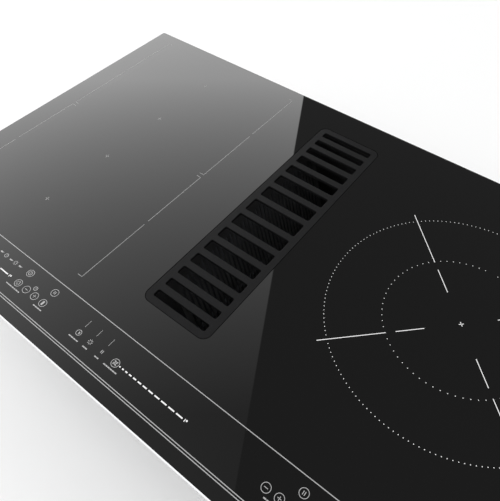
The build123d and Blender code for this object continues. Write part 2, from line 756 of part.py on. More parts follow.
hub_top = tube_top + ROTOR_GAP
with BuildPart() as motor_rotor:
    with BuildSketch(level(rotor_z, BLOWER_X, blower_y)):
        Circle(ROTOR_R)
    extrude(amount=hub_top + ROTOR_WALL - rotor_z)
    with BuildSketch(level(rotor_z, BLOWER_X, blower_y)):
        Circle(ROTOR_R - ROTOR_WALL)
    extrude(amount=hub_top - rotor_z, mode=Mode.SUBTRACT)
    with BuildSketch(level(bearing_levels[0] + 1, BLOWER_X, blower_y)):
        Circle(SHAFT_R)
    extrude(amount=hub_top - bearing_levels[0])
motor_rotor.part.label = "motor_rotor"
export_step(motor_rotor.part, "parts/motor_rotor.step")

blade_in = IMPELLER_R - BLADE_INNER
blade_out = IMPELLER_R - 0.5
plate_top = IMPELLER_LIFT + IMPELLER_PLATE_T
ring_z = IMPELLER_LIFT + IMPELLER_H - IMPELLER_PLATE_T
with BuildPart() as impeller:
    with BuildSketch(level(IMPELLER_LIFT, BLOWER_X, blower_y)):
        Circle(IMPELLER_R)
        Circle(ROTOR_R + RUNNING_PLAY, mode=Mode.SUBTRACT)
    extrude(amount=IMPELLER_PLATE_T)
    with BuildSketch(level(IMPELLER_LIFT, BLOWER_X, blower_y)):
        Circle(ROTOR_R + IMPELLER_PLATE_T)
        Circle(ROTOR_R + RUNNING_PLAY, mode=Mode.SUBTRACT)
    extrude(amount=hub_top + ROTOR_WALL - IMPELLER_LIFT)
    with BuildSketch(level(hub_top + ROTOR_WALL, BLOWER_X, blower_y)):
        Circle(ROTOR_R + IMPELLER_PLATE_T)
    extrude(amount=IMPELLER_PLATE_T)
    with BuildSketch(level(plate_top, BLOWER_X, blower_y)):
        with BuildLine():
            ThreePointArc(
                polar(blade_in, 0),
                polar((blade_in + blade_out) / 2, BLADE_SWEEP * 0.22),
                polar(blade_out, BLADE_SWEEP),
            )
            Line(polar(blade_out, BLADE_SWEEP), polar(blade_out, BLADE_SWEEP + BLADE_T_ANGLE))
            ThreePointArc(
                polar(blade_out, BLADE_SWEEP + BLADE_T_ANGLE),
                polar((blade_in + blade_out) / 2, BLADE_SWEEP * 0.22 + BLADE_T_ANGLE),
                polar(blade_in, BLADE_T_ANGLE),
            )
            Line(polar(blade_in, BLADE_T_ANGLE), polar(blade_in, 0))
        blade = make_face()
        for turn in range(1, BLADE_COUNT):
            add(blade.rotate(Axis.Z, turn * 360 / BLADE_COUNT))
    extrude(amount=ring_z - plate_top)
    with BuildSketch(level(ring_z, BLOWER_X, blower_y)):
        Circle(IMPELLER_R)
        Circle(IMPELLER_R - IMPELLER_RING, mode=Mode.SUBTRACT)
    extrude(amount=IMPELLER_PLATE_T)
impeller.part.label = "impeller"
export_step(impeller.part, "parts/impeller.step")

# --------------------------------------------------------------------------- outlet
pin_y = duct_front + FLAP_SETBACK
pin_z = BLOWER_H - DUCT_WALL - FLAP_DROP
ear_x = DUCT_W / 2 + EAR_W - EAR_INSET
back_face = wall(DUCT_X, duct_back, BLOWER_H / 2, 0, 1)
front_face = wall(DUCT_X, duct_front, BLOWER_H / 2, 0, 1)
pin_plane = wall(DUCT_X, pin_y, pin_z, 1, 0)
with BuildPart() as outlet_duct:
    with BuildSketch(front_face):
        Rectangle(DUCT_W, BLOWER_H)
    extrude(amount=DUCT_LEN)
    with BuildSketch(back_face.offset(-2 * EAR_T)):
        with GridLocations(DUCT_W + EAR_W, EAR_SPACING_Z, 2, 2):
            RectangleRounded(EAR_W, EAR_W, 3)
    extrude(amount=EAR_T)
    with BuildSketch(front_face):
        Rectangle(DUCT_W - 2 * DUCT_WALL, BLOWER_H - 2 * DUCT_WALL)
    extrude(amount=DUCT_LEN, mode=Mode.SUBTRACT)
    with BuildSketch(back_face.offset(-2 * EAR_T)):
        with GridLocations(2 * ear_x, EAR_SPACING_Z, 2, 2):
            Circle(EAR_HOLE_R)
    extrude(amount=EAR_T, mode=Mode.SUBTRACT)
    with BuildSketch(pin_plane):
        Circle(FLAP_PIN_R + RUNNING_PLAY)
    extrude(amount=DUCT_W, both=True, mode=Mode.SUBTRACT)
    with BuildSketch(level(DUCT_WALL, DUCT_X, pin_y - FLAP_T - DUCT_WALL / 2)):
        Rectangle(DUCT_W - 2 * DUCT_WALL, DUCT_WALL)
    extrude(amount=2 * DUCT_WALL)
outlet_duct.part.label = "outlet_duct"
export_step(outlet_duct.part, "parts/outlet_duct.step")

flap_w = DUCT_W - 2 * DUCT_WALL - 2 * FLAP_PLAY
with BuildPart() as backflow_flap:
    with BuildSketch(level(DUCT_WALL + FLAP_PLAY, DUCT_X, pin_y)):
        Rectangle(flap_w, FLAP_T)
    extrude(amount=pin_z - DUCT_WALL - FLAP_PLAY)
    with BuildSketch(pin_plane):
        Circle(2 * FLAP_PIN_R)
    extrude(amount=flap_w / 2, both=True)
    with BuildSketch(pin_plane):
        Circle(FLAP_PIN_R)
    extrude(amount=DUCT_W / 2, both=True)
    with BuildSketch(wall(DUCT_X, pin_y + FLAP_T / 2, pin_z / 2, 0, 1)):
        with GridLocations(flap_w / 4, 0, 3, 1):
            Rectangle(FLAP_T, pin_z / 2)
    extrude(amount=FLAP_T)
backflow_flap.part.label = "backflow_flap"
export_step(backflow_flap.part, "parts/backflow_flap.step")

# --------------------------------------------------------------------------- heating zones
# Each zone is a stack under the glass: mica, winding, former, ferrites and the carrier plate.
mica_z = glass_under - MICA_T
winding_z = mica_z - WINDING_T
former_z = winding_z - FORMER_T
ferrite_z = former_z - FERRITE_T
carrier_z = ferrite_z - CARRIER_T
flex_spots = [
    (zone_l_x, zone_l_y + (place - (FLEX_COUNT - 1) / 2) * flex_pitch) for place in range(FLEX_COUNT)
]
flex_length = (FLEX_COUNT - 1) * flex_pitch + flex_d
round_span = 2 * ROUND_OUTER[1]
former_w = FLEX_W + 2 * FORMER_LIP
former_d = flex_d + 2 * FORMER_LIP

for place, (x, y) in enumerate(flex_spots, start=1):
    with BuildPart() as winding:
        with BuildSketch(level(winding_z, x, y)):
            SlotOverall(FLEX_W, flex_d)
            SlotOverall(FLEX_W - 2 * FLEX_TURNS_W, flex_d - 2 * FLEX_TURNS_W, mode=Mode.SUBTRACT)
        extrude(amount=WINDING_T)
    winding.part.label = f"flex_winding_{place}"
    export_step(winding.part, f"parts/flex_winding_{place}.step")

with BuildPart() as flex_formers:
    with BuildSketch(level(former_z)):
        with Locations(*flex_spots):
            SlotOverall(former_w, former_d)
    extrude(amount=FORMER_T)
flex_formers.part.label = "flex_formers"
export_step(flex_formers.part, "parts/flex_formers.step")

with BuildPart() as flex_ferrites:
    with BuildSketch(level(ferrite_z)):
        with Locations(*flex_spots):
            with GridLocations((FLEX_W - flex_d) / 3, 0, 4, 1):
                Rectangle(FERRITE_W, flex_d - FERRITE_W)
    extrude(amount=FERRITE_T)
flex_ferrites.part.label = "flex_ferrites"
export_step(flex_ferrites.part, "parts/flex_ferrites.step")

for name, (inner, outer) in (("round_winding_inner", ROUND_INNER), ("round_winding_outer", ROUND_OUTER)):
    with BuildPart() as winding:
        with BuildSketch(level(winding_z, zone_r_x, ZONE_R_Y)):
            Circle(outer)
            Circle(inner, mode=Mode.SUBTRACT)
        extrude(amount=WINDING_T)
    winding.part.label = name
    export_step(winding.part, f"parts/{name}.step")

with BuildPart() as round_former:
    with BuildSketch(level(former_z, zone_r_x, ZONE_R_Y)):
        Circle(ROUND_OUTER[1] + FORMER_LIP)
    extrude(amount=FORMER_T)
round_former.part.label = "round_former"
export_step(round_former.part, "parts/round_former.step")

with BuildPart() as round_ferrites:
    with BuildSketch(level(ferrite_z, zone_r_x, ZONE_R_Y)):
        with PolarLocations((ROUND_INNER[1] + ROUND_OUTER[0]) / 2, 8):
            Rectangle(ROUND_OUTER[1] - ROUND_INNER[0] - FERRITE_W * 2, FERRITE_W)
    extrude(amount=FERRITE_T)
round_ferrites.part.label = "round_ferrites"
export_step(round_ferrites.part, "parts/round_ferrites.step")

sensor_spots = flex_spots + [(zone_r_x, ZONE_R_Y)]
with BuildPart() as mica_sheets:
    with BuildSketch(level(mica_z)):
        with Locations((zone_l_x, zone_l_y)):
            RectangleRounded(former_w, flex_length + 2 * FORMER_LIP, flex_d / 4)
        with Locations((zone_r_x, ZONE_R_Y)):
            Circle(ROUND_OUTER[1] + FORMER_LIP)
        with Locations(*sensor_spots):
            Circle(SENSOR_R + FORMER_LIP, mode=Mode.SUBTRACT)
    extrude(amount=MICA_T)
mica_sheets.part.label = "mica_sheets"
export_step(mica_sheets.part, "parts/mica_sheets.step")

with BuildPart() as temperature_sensors:
    with BuildSketch(level(winding_z)):
        with Locations(*sensor_spots):
            Circle(SENSOR_R)
    extrude(amount=glass_under - winding_z)
temperature_sensors.part.label = "temperature_sensors"
export_step(temperature_sensors.part, "parts/temperature_sensors.step")

carriers = {
    "left": (zone_l_x, zone_l_y, former_w + 2 * CARRIER_LIP, flex_length + 2 * CARRIER_LIP),
    "right": (zone_r_x, ZONE_R_Y, round_span + 2 * CARRIER_LIP, round_span + 2 * CARRIER_LIP),
}
for side, (x, y, width, depth) in carriers.items():
    with BuildPart() as coil_carrier:
        with BuildSketch(level(carrier_z, x, y)):
            RectangleRounded(width, depth, POST_INSET)
        extrude(amount=CARRIER_T)
    coil_carrier.part.label = f"coil_carrier_{side}"
    export_step(coil_carrier.part, f"parts/coil_carrier_{side}.step")

with BuildPart() as carrier_posts:
    for x, y, width, depth in carriers.values():
        with BuildSketch(level(casing_inside, x, y)):
            with GridLocations(width - 2 * POST_INSET, depth - 2 * POST_INSET, 2, 2):
                Circle(POST_R)
        extrude(amount=carrier_z - casing_inside)
carrier_posts.part.label = "carrier_posts"
export_step(carrier_posts.part, "parts/carrier_posts.step")

# --------------------------------------------------------------------------- electronics
board_z = casing_inside + BOARD_LIFT
board_top = board_z + BOARD_T
with BuildPart() as board_standoffs:
    with BuildSketch(level(casing_inside)):
        with Locations((board_l_x, BOARD_Y), (board_r_x, BOARD_Y)):
            with GridLocations(BOARD_W - 2 * POST_R, BOARD_D / 2 - POST_R, 2, 3):
                RegularPolygon(POST_R / 1.4, 6)
    extrude(amount=BOARD_LIFT)
board_standoffs.part.label = "board_standoffs"
export_step(board_standoffs.part, "parts/board_standoffs.step")

fin_pitch = (SINK_W - SINK_FIN) / (SINK_FINS - 1)
for side, x in (("left", board_l_x), ("right", board_r_x)):
    with BuildPart() as power_board:
        with BuildSketch(level(board_z, x, BOARD_Y)):
            RectangleRounded(BOARD_W, BOARD_D, 2)
        extrude(amount=BOARD_T)
    power_board.part.label = f"power_board_{side}"
    export_step(power_board.part, f"parts/power_board_{side}.step")

    with BuildPart() as heatsink:
        with BuildSketch(level(board_top, x, BOARD_Y)):
            Rectangle(SINK_W, SINK_D)
        extrude(amount=SINK_BASE)
        with BuildSketch(level(board_top + SINK_BASE, x, BOARD_Y)):
            with GridLocations(fin_pitch, 0, SINK_FINS, 1):
                Rectangle(SINK_FIN, SINK_D)
        extrude(amount=SINK_H - SINK_BASE)
    heatsink.part.label = f"heatsink_{side}"
    export_step(heatsink.part, f"parts/heatsink_{side}.step")

with BuildPart() as capacitors:
    with BuildSketch(level(board_top)):
        with Locations((board_l_x, BOARD_Y), (board_r_x, BOARD_Y)):
            with GridLocations(BOARD_W - 2 * CAN_R - 4 * POST_R, CAN_PITCH, 2, 4):
                Circle(CAN_R)
    extrude(amount=CAN_H)
capacitors.part.label = "capacitors"
export_step(capacitors.part, "parts/capacitors.step")

fan_hub_h = FAN_T * 0.3
fan_tip = FAN_BORE_R - FAN_TIP_PLAY
blade_len = fan_tip - FAN_HUB_R + 2
fan_middle = casing_inside + (FAN_T + fan_hub_h) / 2 + 1
for side, (x, y) in fan_spots.items():
    with BuildPart() as fan_frame:
        with BuildSketch(level(casing_inside, x, y)):
            RectangleRounded(FAN_SIZE, FAN_SIZE, 4)
            Circle(FAN_BORE_R, mode=Mode.SUBTRACT)
            with GridLocations(FAN_SIZE - 9, FAN_SIZE - 9, 2, 2):
                Circle(SCREW_R + SCREW_PLAY, mode=Mode.SUBTRACT)
        extrude(amount=FAN_T)
        with BuildSketch(level(casing_inside, x, y)):
            Circle(FAN_HUB_R)
            with PolarLocations((FAN_HUB_R + FAN_BORE_R) / 2, 3):
                Rectangle(FAN_BORE_R - FAN_HUB_R + 4, 4)
            Circle(SCREW_R + RUNNING_PLAY, mode=Mode.SUBTRACT)
        extrude(amount=fan_hub_h)
    fan_frame.part.label = f"cooling_fan_{side}"
    export_step(fan_frame.part, f"parts/cooling_fan_{side}.step")

    with BuildPart() as fan_rotor:
        with BuildSketch(level(casing_inside + fan_hub_h + 1, x, y)):
            Circle(FAN_HUB_R)
        extrude(amount=FAN_T - fan_hub_h - 2)
        with BuildSketch(level(casing_inside + 1, x, y)):
            Circle(SCREW_R)
        extrude(amount=fan_hub_h + 1)
        for place in range(FAN_BLADES):
            turn = place * 360 / FAN_BLADES
            out = polar(1, turn)
            lean = polar(sin(radians(FAN_LEAN)), turn + 90)
            blade_plane = Plane(
                origin=(x, y, fan_middle), x_dir=(*out, 0), z_dir=(*lean, cos(radians(FAN_LEAN)))
            )
            with BuildSketch(blade_plane):
                with Locations((fan_tip - blade_len / 2 - 1, 0)):
                    Rectangle(blade_len, FAN_BLADE_W)
            extrude(amount=0.7, both=True)
        with BuildSketch(level(casing_inside, x, y)):
            Circle(2 * fan_tip)
            Circle(fan_tip, mode=Mode.SUBTRACT)
        extrude(amount=2 * FAN_T, mode=Mode.SUBTRACT)
    fan_rotor.part.label = f"cooling_rotor_{side}"
    export_step(fan_rotor.part, f"parts/cooling_rotor_{side}.step")

with BuildPart() as light_guide:
    with BuildSketch(level(glass_under - GUIDE_T, 0, control_y)):
        RectangleRounded(CONTROL_W, CONTROL_D, 3)
        with GridLocations(CONTROL_W / 8, 0, 8, 1):
            RectangleRounded(CONTROL_W / 8 - 6, CONTROL_D - 8, 2, mode=Mode.SUBTRACT)
    extrude(amount=GUIDE_T)
light_guide.part.label = "light_guide"
export_step(light_guide.part, "parts/light_guide.step")

with BuildPart() as control_board:
    with BuildSketch(level(glass_under - GUIDE_T - BOARD_T, 0, control_y)):
        RectangleRounded(CONTROL_W, CONTROL_D, 3)
    extrude(amount=BOARD_T)
control_board.part.label = "control_board"
export_step(control_board.part, "parts/control_board.step")

# Supply terminals stand at the back left, in line with the gland.
terminal_y = casing_d / 2 - SHEET - GLAND_BODY_R - TERMINAL_D / 2 - 2 * CLAMP_T
with BuildPart() as terminal_block:
    with BuildSketch(level(casing_inside, terminal_x, terminal_y)):
        Rectangle(TERMINAL_W, TERMINAL_D)
    extrude(amount=TERMINAL_H)
    with BuildSketch(level(casing_inside + TERMINAL_H, terminal_x, terminal_y)):
        with GridLocations(TERMINAL_W / 5, TERMINAL_D / 2, 5, 2):
            Circle(2.6)
    extrude(amount=-TERMINAL_H / 3, mode=Mode.SUBTRACT)
terminal_block.part.label = "terminal_block"
export_step(terminal_block.part, "parts/terminal_block.step")

with BuildPart() as cable_gland:
    with BuildSketch(gland_plane):
        Circle(GLAND_BODY_R)
    extrude(amount=-GLAND_BODY_R)
    with BuildSketch(gland_plane):
        RegularPolygon(GLAND_NUT_R, 6)
    extrude(amount=GLAND_BODY_R - 3)
    with BuildSketch(gland_plane.offset(GLAND_BODY_R - 3)):
        Circle(GLAND_BODY_R)
    extrude(amount=GLAND_R, taper=12)
    with BuildSketch(gland_plane.offset(-GLAND_BODY_R)):
        Circle(GLAND_R)
    extrude(amount=3 * GLAND_BODY_R, mode=Mode.SUBTRACT)
cable_gland.part.label = "cable_gland"
export_step(cable_gland.part, "parts/cable_gland.step")

# Housing of the fan's speed controller, under the casing to the left of the shaft.
controller_x = INTAKE_X - upper_flange[0] / 2 - FRAME_PLAY - CONTROLLER_W / 2
controller_y = intake_y + CONTROLLER_D / 2
with BuildPart() as blower_controller:
    with BuildSketch(level(casing_floor - CONTROLLER_H, controller_x, controller_y)):
        RectangleRounded(CONTROLLER_W, CONTROLLER_D, 4)
    extrude(amount=CONTROLLER_H)
    fillet(blower_controller.faces().sort_by(Axis.Z)[0].edges(), 2)
blower_controller.part.label = "blower_controller"
export_step(blower_controller.part, "parts/blower_controller.step")
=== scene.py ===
"""Looks of the downdraft induction cooktop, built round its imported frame.

Every object is in metres, in the frame of the part: X to the right, Y to the back, Z up, with
the origin under the middle of the glass on the surface that the unit stands on.
"""

from __future__ import annotations

import json
import logging
import math
from dataclasses import dataclass, field
from enum import Enum
from functools import partialmethod
from typing import Any, Iterable, Sequence

import bmesh
import bpy
from bpy.types import Material, Node, NodeSocket, Object, World
from mathutils import Matrix, Vector
from mathutils.bvhtree import BVHTree

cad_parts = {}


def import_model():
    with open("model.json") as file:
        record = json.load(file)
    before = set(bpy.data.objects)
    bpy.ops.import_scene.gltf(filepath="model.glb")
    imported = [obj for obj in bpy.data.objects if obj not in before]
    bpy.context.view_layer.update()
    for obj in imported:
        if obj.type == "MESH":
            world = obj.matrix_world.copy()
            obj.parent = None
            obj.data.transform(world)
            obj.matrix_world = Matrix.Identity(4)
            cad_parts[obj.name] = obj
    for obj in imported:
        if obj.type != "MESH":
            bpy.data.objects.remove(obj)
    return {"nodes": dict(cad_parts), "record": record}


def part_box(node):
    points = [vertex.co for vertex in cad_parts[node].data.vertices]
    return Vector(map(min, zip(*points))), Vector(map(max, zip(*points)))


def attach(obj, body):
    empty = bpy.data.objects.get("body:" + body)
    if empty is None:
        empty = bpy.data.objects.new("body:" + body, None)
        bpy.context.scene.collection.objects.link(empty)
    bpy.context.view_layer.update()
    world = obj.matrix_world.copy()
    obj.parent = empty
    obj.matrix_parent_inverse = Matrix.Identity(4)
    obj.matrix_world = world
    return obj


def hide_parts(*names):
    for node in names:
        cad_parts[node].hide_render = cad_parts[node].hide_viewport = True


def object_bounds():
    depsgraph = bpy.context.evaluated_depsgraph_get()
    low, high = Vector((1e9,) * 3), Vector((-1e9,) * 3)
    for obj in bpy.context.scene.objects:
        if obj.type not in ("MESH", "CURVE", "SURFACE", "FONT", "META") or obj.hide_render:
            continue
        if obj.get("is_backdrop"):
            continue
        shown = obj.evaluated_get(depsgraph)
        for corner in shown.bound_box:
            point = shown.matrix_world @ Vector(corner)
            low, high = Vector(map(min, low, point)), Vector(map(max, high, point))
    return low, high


log = logging.getLogger("cooktop")

MM = 0.001
WELD = 0.002 * MM
UP, DOWN = Vector((0, 0, 1)), Vector((0, 0, -1))
RIGHT, LEFT = Vector((1, 0, 0)), Vector((-1, 0, 0))
BACK, FRONT = Vector((0, 1, 0)), Vector((0, -1, 0))

Point = tuple[float, float]
Triple = tuple[float, float, float]
Colour = Triple


def polar(at: Point, radius: float, angle: float) -> Point:
    """The point at this distance from another, at an angle in radians."""
    return at[0] + radius * math.cos(angle), at[1] + radius * math.sin(angle)


def between(angle: float, first: Vector, second: Vector) -> Vector:
    """The direction that lies at this angle from the first axis towards the second."""
    return first * math.cos(angle) + second * math.sin(angle)


def grey(level: float) -> Colour:
    """A colour without any hue."""
    return level, level, level


# ------------------------------------------------------------------ shader expressions
class Wire:
    """A socket or a number in a shader tree, with arithmetic that adds Math nodes."""

    def __init__(self, tree: Tree, source: Any) -> None:
        """Wrap a node socket or a plain number."""
        self.tree = tree
        self.source = source

    def apply(self, operation: str, *others: Any, clamp: bool = False) -> Wire:
        """Add one Math node on this value and the others."""
        node = self.tree.node("Math", {"operation": operation, "use_clamp": clamp})
        for index, value in enumerate((self, *others)):
            self.tree.feed(node.inputs[index], value)
        return Wire(self.tree, node.outputs[0])

    __add__ = __radd__ = partialmethod(apply, "ADD")
    __sub__ = partialmethod(apply, "SUBTRACT")
    __mul__ = __rmul__ = partialmethod(apply, "MULTIPLY")
    __mod__ = partialmethod(apply, "FLOORED_MODULO")
    __pow__ = partialmethod(apply, "POWER")
    __gt__ = partialmethod(apply, "GREATER_THAN")
    __lt__ = partialmethod(apply, "LESS_THAN")
    sin = partialmethod(apply, "SINE")
    abs = partialmethod(apply, "ABSOLUTE")
    clamp = partialmethod(apply, "ADD", 0.0, clamp=True)

    def __rsub__(self, other: Any) -> Wire:
        """Difference the other way round."""
        return Wire(self.tree, other) - self

    def held(self, low: float, high: float) -> Wire:
        """The value held between two limits."""
        return self.apply("MAXIMUM", low).apply("MINIMUM", high)

    def smooth(self, low: float, high: float) -> Wire:
        """0 below low, 1 above high, with a soft step between."""
        soft = {"interpolation_type": "SMOOTHSTEP"}
        node = self.tree.node("MapRange", soft, Value=self, From_Min=low, From_Max=high)
        return self.tree.wire(node, "Result")


class Tree:
    """A material's or world's node tree, with one method for every kind of node."""

    def __init__(self, owner: Material | World) -> None:
        """Empty the owner's tree and keep it."""
        owner.use_nodes = True
        self.nodes, self.links = owner.node_tree.nodes, owner.node_tree.links
        self.nodes.clear()

    def feed(self, socket: NodeSocket, value: Any) -> None:
        """Set a socket to a number or colour, or link a wire to it."""
        if isinstance(value, Wire):
            value = value.source
        if isinstance(value, NodeSocket):
            self.links.new(value, socket)
        elif isinstance(value, tuple) and len(value) == 3 and socket.type == "RGBA":
            socket.default_value = (*value, 1.0)
        else:
            socket.default_value = value

    def node(
        self, kind: str, settings: dict[str, Any] | None = None, **sockets: Any
    ) -> Node:
        """Add a node, with its properties, and values or wires by input name (_ for a blank)."""
        made = self.nodes.new(f"ShaderNode{kind}")
        for key, value in (settings or {}).items():
            setattr(made, key, value)
        for key, value in sockets.items():
            self.feed(made.inputs[key.replace("_", " ")], value)
        return made

    def wire(self, node: Node, output: str | int = 0) -> Wire:
        """A node's output as a wire."""
        return Wire(self, node.outputs[output])

    def place(self, kind: str = "TexCoord", output: str = "Object") -> tuple[Wire, Wire, Wire]:
        """X, Y and Z of the surface point in metres, on the object or else in the world."""
        source = self.wire(self.node(kind), output)
        split = self.node("SeparateXYZ", Vector=source)
        return tuple(self.wire(split, index) for index in range(3))

    def noise(self, size: float, detail: float = 3.0, stretch: Triple = (1.0, 1.0, 1.0)) -> Wire:
        """Noise whose grains measure about size metres, drawn out by stretch."""
        spot = self.wire(self.node("TexCoord"), "Object")
        scale = tuple(1.0 / part for part in stretch)
        drawn = self.wire(self.node("Mapping", Vector=spot, Scale=scale))
        made = self.node("TexNoise", Vector=drawn, Scale=1.0 / size, Detail=detail)
        return self.wire(made)

    def mix(self, factor: Any, first: Any, second: Any) -> Wire:
        """Two colours mixed by a factor."""
        made = self.node("Mix", {"data_type": "RGBA"})
        for index, value in ((0, factor), (6, first), (7, second)):
            self.feed(made.inputs[index], value)
        return self.wire(made, 2)

    def bump(self, height: Wire, depth: float, under: Wire | None = None) -> Wire:
        """A normal bent by a height in metres of depth."""
        made = self.node("Bump", Height=height, Distance=depth)
        if under is not None:
            self.feed(made.inputs["Normal"], under)
        return self.wire(made, "Normal")

    def blend(self, factor: Any, first: Node, second: Node) -> Node:
        """Two shaders mixed by a factor."""
        made = self.node("MixShader", Fac=factor)
        self.links.new(first.outputs[0], made.inputs[1])
        self.links.new(second.outputs[0], made.inputs[2])
        return made

    def output(self, surface: Node, kind: str = "Material") -> None:
        """Make a shader the surface of the material or world."""
        self.node(f"Output{kind}", Surface=surface.outputs[0])


# ------------------------------------------------------------------ finishes
@dataclass(frozen=True)
class Finish:
    """A sheet, moulded or painted finish: a colour, a gloss, and their fine variation."""

    name: str
    colour: Colour
    roughness: float
    metallic: float = 0.0
    grain: float = 2.0 * MM
    mottle: float = 0.08
    wear: float = 0.10
    relief: float = 0.03 * MM
    gloss: float = 0.5

    def tint(self, share: float) -> Colour:
        """The finish's colour, made darker or lighter by a factor."""
        return tuple(min(part * share, 1.0) for part in self.colour)

    def shade(self, tree: Tree) -> tuple[Any, Any, Wire]:
        """Colour, roughness and normal of the finish, as inputs of the surface shader."""
        fine = tree.noise(self.grain, 4.0)
        broad = tree.noise(self.grain * 40.0, 2.0)
        shift = (broad - 0.5) * 1.4 + (fine - 0.5) * 0.6
        spread = self.mottle * 2.0
        colour = tree.mix((shift + 0.5).clamp(), self.tint(1.0 - spread), self.tint(1.0 + spread))
        roughness = (self.roughness + (fine - 0.5) * self.wear + (broad - 0.5) * self.wear).clamp()
        return colour, roughness, tree.bump(fine, self.relief)

    def make(self) -> Material:
        """The finish as a material."""
        material = bpy.data.materials.new(self.name)
        tree = Tree(material)
        colour, roughness, normal = self.shade(tree)
        surface = tree.node(
            "BsdfPrincipled",
            Base_Color=colour,
            Roughness=roughness,
            Metallic=self.metallic,
            Normal=normal,
            Specular_IOR_Level=self.gloss,
        )
        tree.output(surface)
        return material


@dataclass(frozen=True)
class BrushedFinish(Finish):
    """Rolled or drawn metal with fine lines along one direction."""

    lines: float = 0.35 * MM
    along: Triple = (60.0, 1.0, 1.0)

    def shade(self, tree: Tree) -> tuple[Any, Any, Wire]:
        """Adds the rolling lines to the plain finish."""
        colour, roughness, normal = super().shade(tree)
        streak = tree.noise(self.lines, 2.0, self.along)
        colour = tree.mix((streak - 0.35).clamp() * 0.9, colour, self.tint(0.82))
        roughness = (roughness + (streak - 0.5) * 0.18).clamp()
        return colour, roughness, tree.bump(streak, self.relief, normal)


@dataclass(frozen=True)
class FilterFinish(BrushedFinish):
    """Filter sheet with painted shade: darker near its top, along its foot and on its end walls."""

    foot: Point = (0.085, 0.125)
    top: Point = (0.13, 0.20)
    ends: Point = (-1.0, 1.0)
    # painted shade: the grey near the top and foot of the sheet, then the darker grey of its end
    # walls
    shade_grey: Colour = grey(0.165)
    wall_shade_grey: Colour = grey(0.18)

    def shade(self, tree: Tree) -> tuple[Any, Any, Wire]:
        """Adds the painted shade to the brushed finish."""
        colour, roughness, normal = super().shade(tree)
        _, y, z = tree.place()
        # painted shade mask: darker near the top and along the foot, and the end walls take their
        # own painted shade
        painted_shade = (z.smooth(*self.top) + (1.0 - z.smooth(*self.foot)) * 0.5).clamp()
        walls = (y < self.ends[0]) + (y > self.ends[1])
        colour = tree.mix(walls, tree.mix(painted_shade, colour, self.shade_grey), self.wall_shade_grey)
        return colour, (roughness + painted_shade * 0.08).clamp(), normal


@dataclass(frozen=True)
class GlassFinish(Finish):
    """Black ceramic glass with a ground and polished front edge."""

    edge_y: float = 0.0
    edge_width: float = 1.15 * MM
    edge_colour: Colour = (0.86, 0.87, 0.88)

    def shade(self, tree: Tree) -> tuple[Any, Any, Wire]:
        """Adds the pale polished edge and the faint wipe marks."""
        _, y, _ = tree.place()
        wipe = tree.noise(60 * MM, 3.0, (1.0, 3.0, 1.0))
        body = tree.mix(tree.noise(0.6 * MM, 2.0), self.colour, self.tint(1.5))
        polished = y < self.edge_y + self.edge_width
        colour = tree.mix(polished, body, self.edge_colour)
        roughness = (self.roughness + (wipe - 0.5).abs() * self.wear + polished * 0.3).clamp()
        return colour, roughness, tree.bump(wipe, self.relief)


@dataclass(frozen=True)
class StrandedFinish(Finish):
    """Lacquered copper wire, seen as its twisted strands."""

    lay: float = 2.4 * MM
    climb: float = 900.0
    strand_depth: float = 0.25 * MM

    def shade(self, tree: Tree) -> tuple[Any, Any, Wire]:
        """Adds the twist of the strands to the plain finish, with painted shade in the grooves
        between them.
        """
        colour, roughness, normal = super().shade(tree)
        x, y, z = tree.place()
        drift = tree.noise(30 * MM, 1.0) * 0.8
        twist, cross = (
            (way * (math.tau / self.lay) + z * self.climb + drift).sin() * 0.5 + 0.5
            for way in (x + y, x - y)
        )
        strands = twist * 0.5 + cross * 0.5
        # painted shade: where the strands dip, in the grooves between them, the colour falls to
        # under half
        colour = tree.mix(strands.smooth(0.1, 0.7), self.tint(0.45), colour)
        return colour, roughness, tree.bump(strands, self.strand_depth, normal)


@dataclass(frozen=True)
class BoardFinish(Finish):
    """A printed circuit board: lacquered tracks, pads and a fine weave."""

    pitch: float = 5.08 * MM
    track: Colour = (0.09, 0.33, 0.16)
    pad: Colour = (0.62, 0.60, 0.55)

    def shade(self, tree: Tree) -> tuple[Any, Any, Wire]:
        """Adds tracks that wander on a grid, and tinned pads at its points."""
        colour, roughness, _ = super().shade(tree)
        x, y, _ = tree.place()
        drift = tree.noise(14 * MM, 1.0)
        lane = ((x + drift * (6 * MM)) % (self.pitch / 2)) * (2.0 / self.pitch)
        wire = (lane > 0.35) * (lane < 0.62) * (tree.noise(22 * MM, 0.0, (1, 3, 1)) > 0.5)
        near_x, near_y = (
            ((way % self.pitch) * (1.0 / self.pitch) - 0.5).abs() for way in (x, y)
        )
        spot = ((near_x ** 2.0 + near_y ** 2.0) < 0.03) * (tree.noise(9 * MM, 0.0) > 0.52)
        colour = tree.mix(spot, tree.mix(wire, colour, self.track), self.pad)
        return colour, (roughness - spot * 0.15).clamp(), tree.bump(wire + spot, 0.05 * MM)


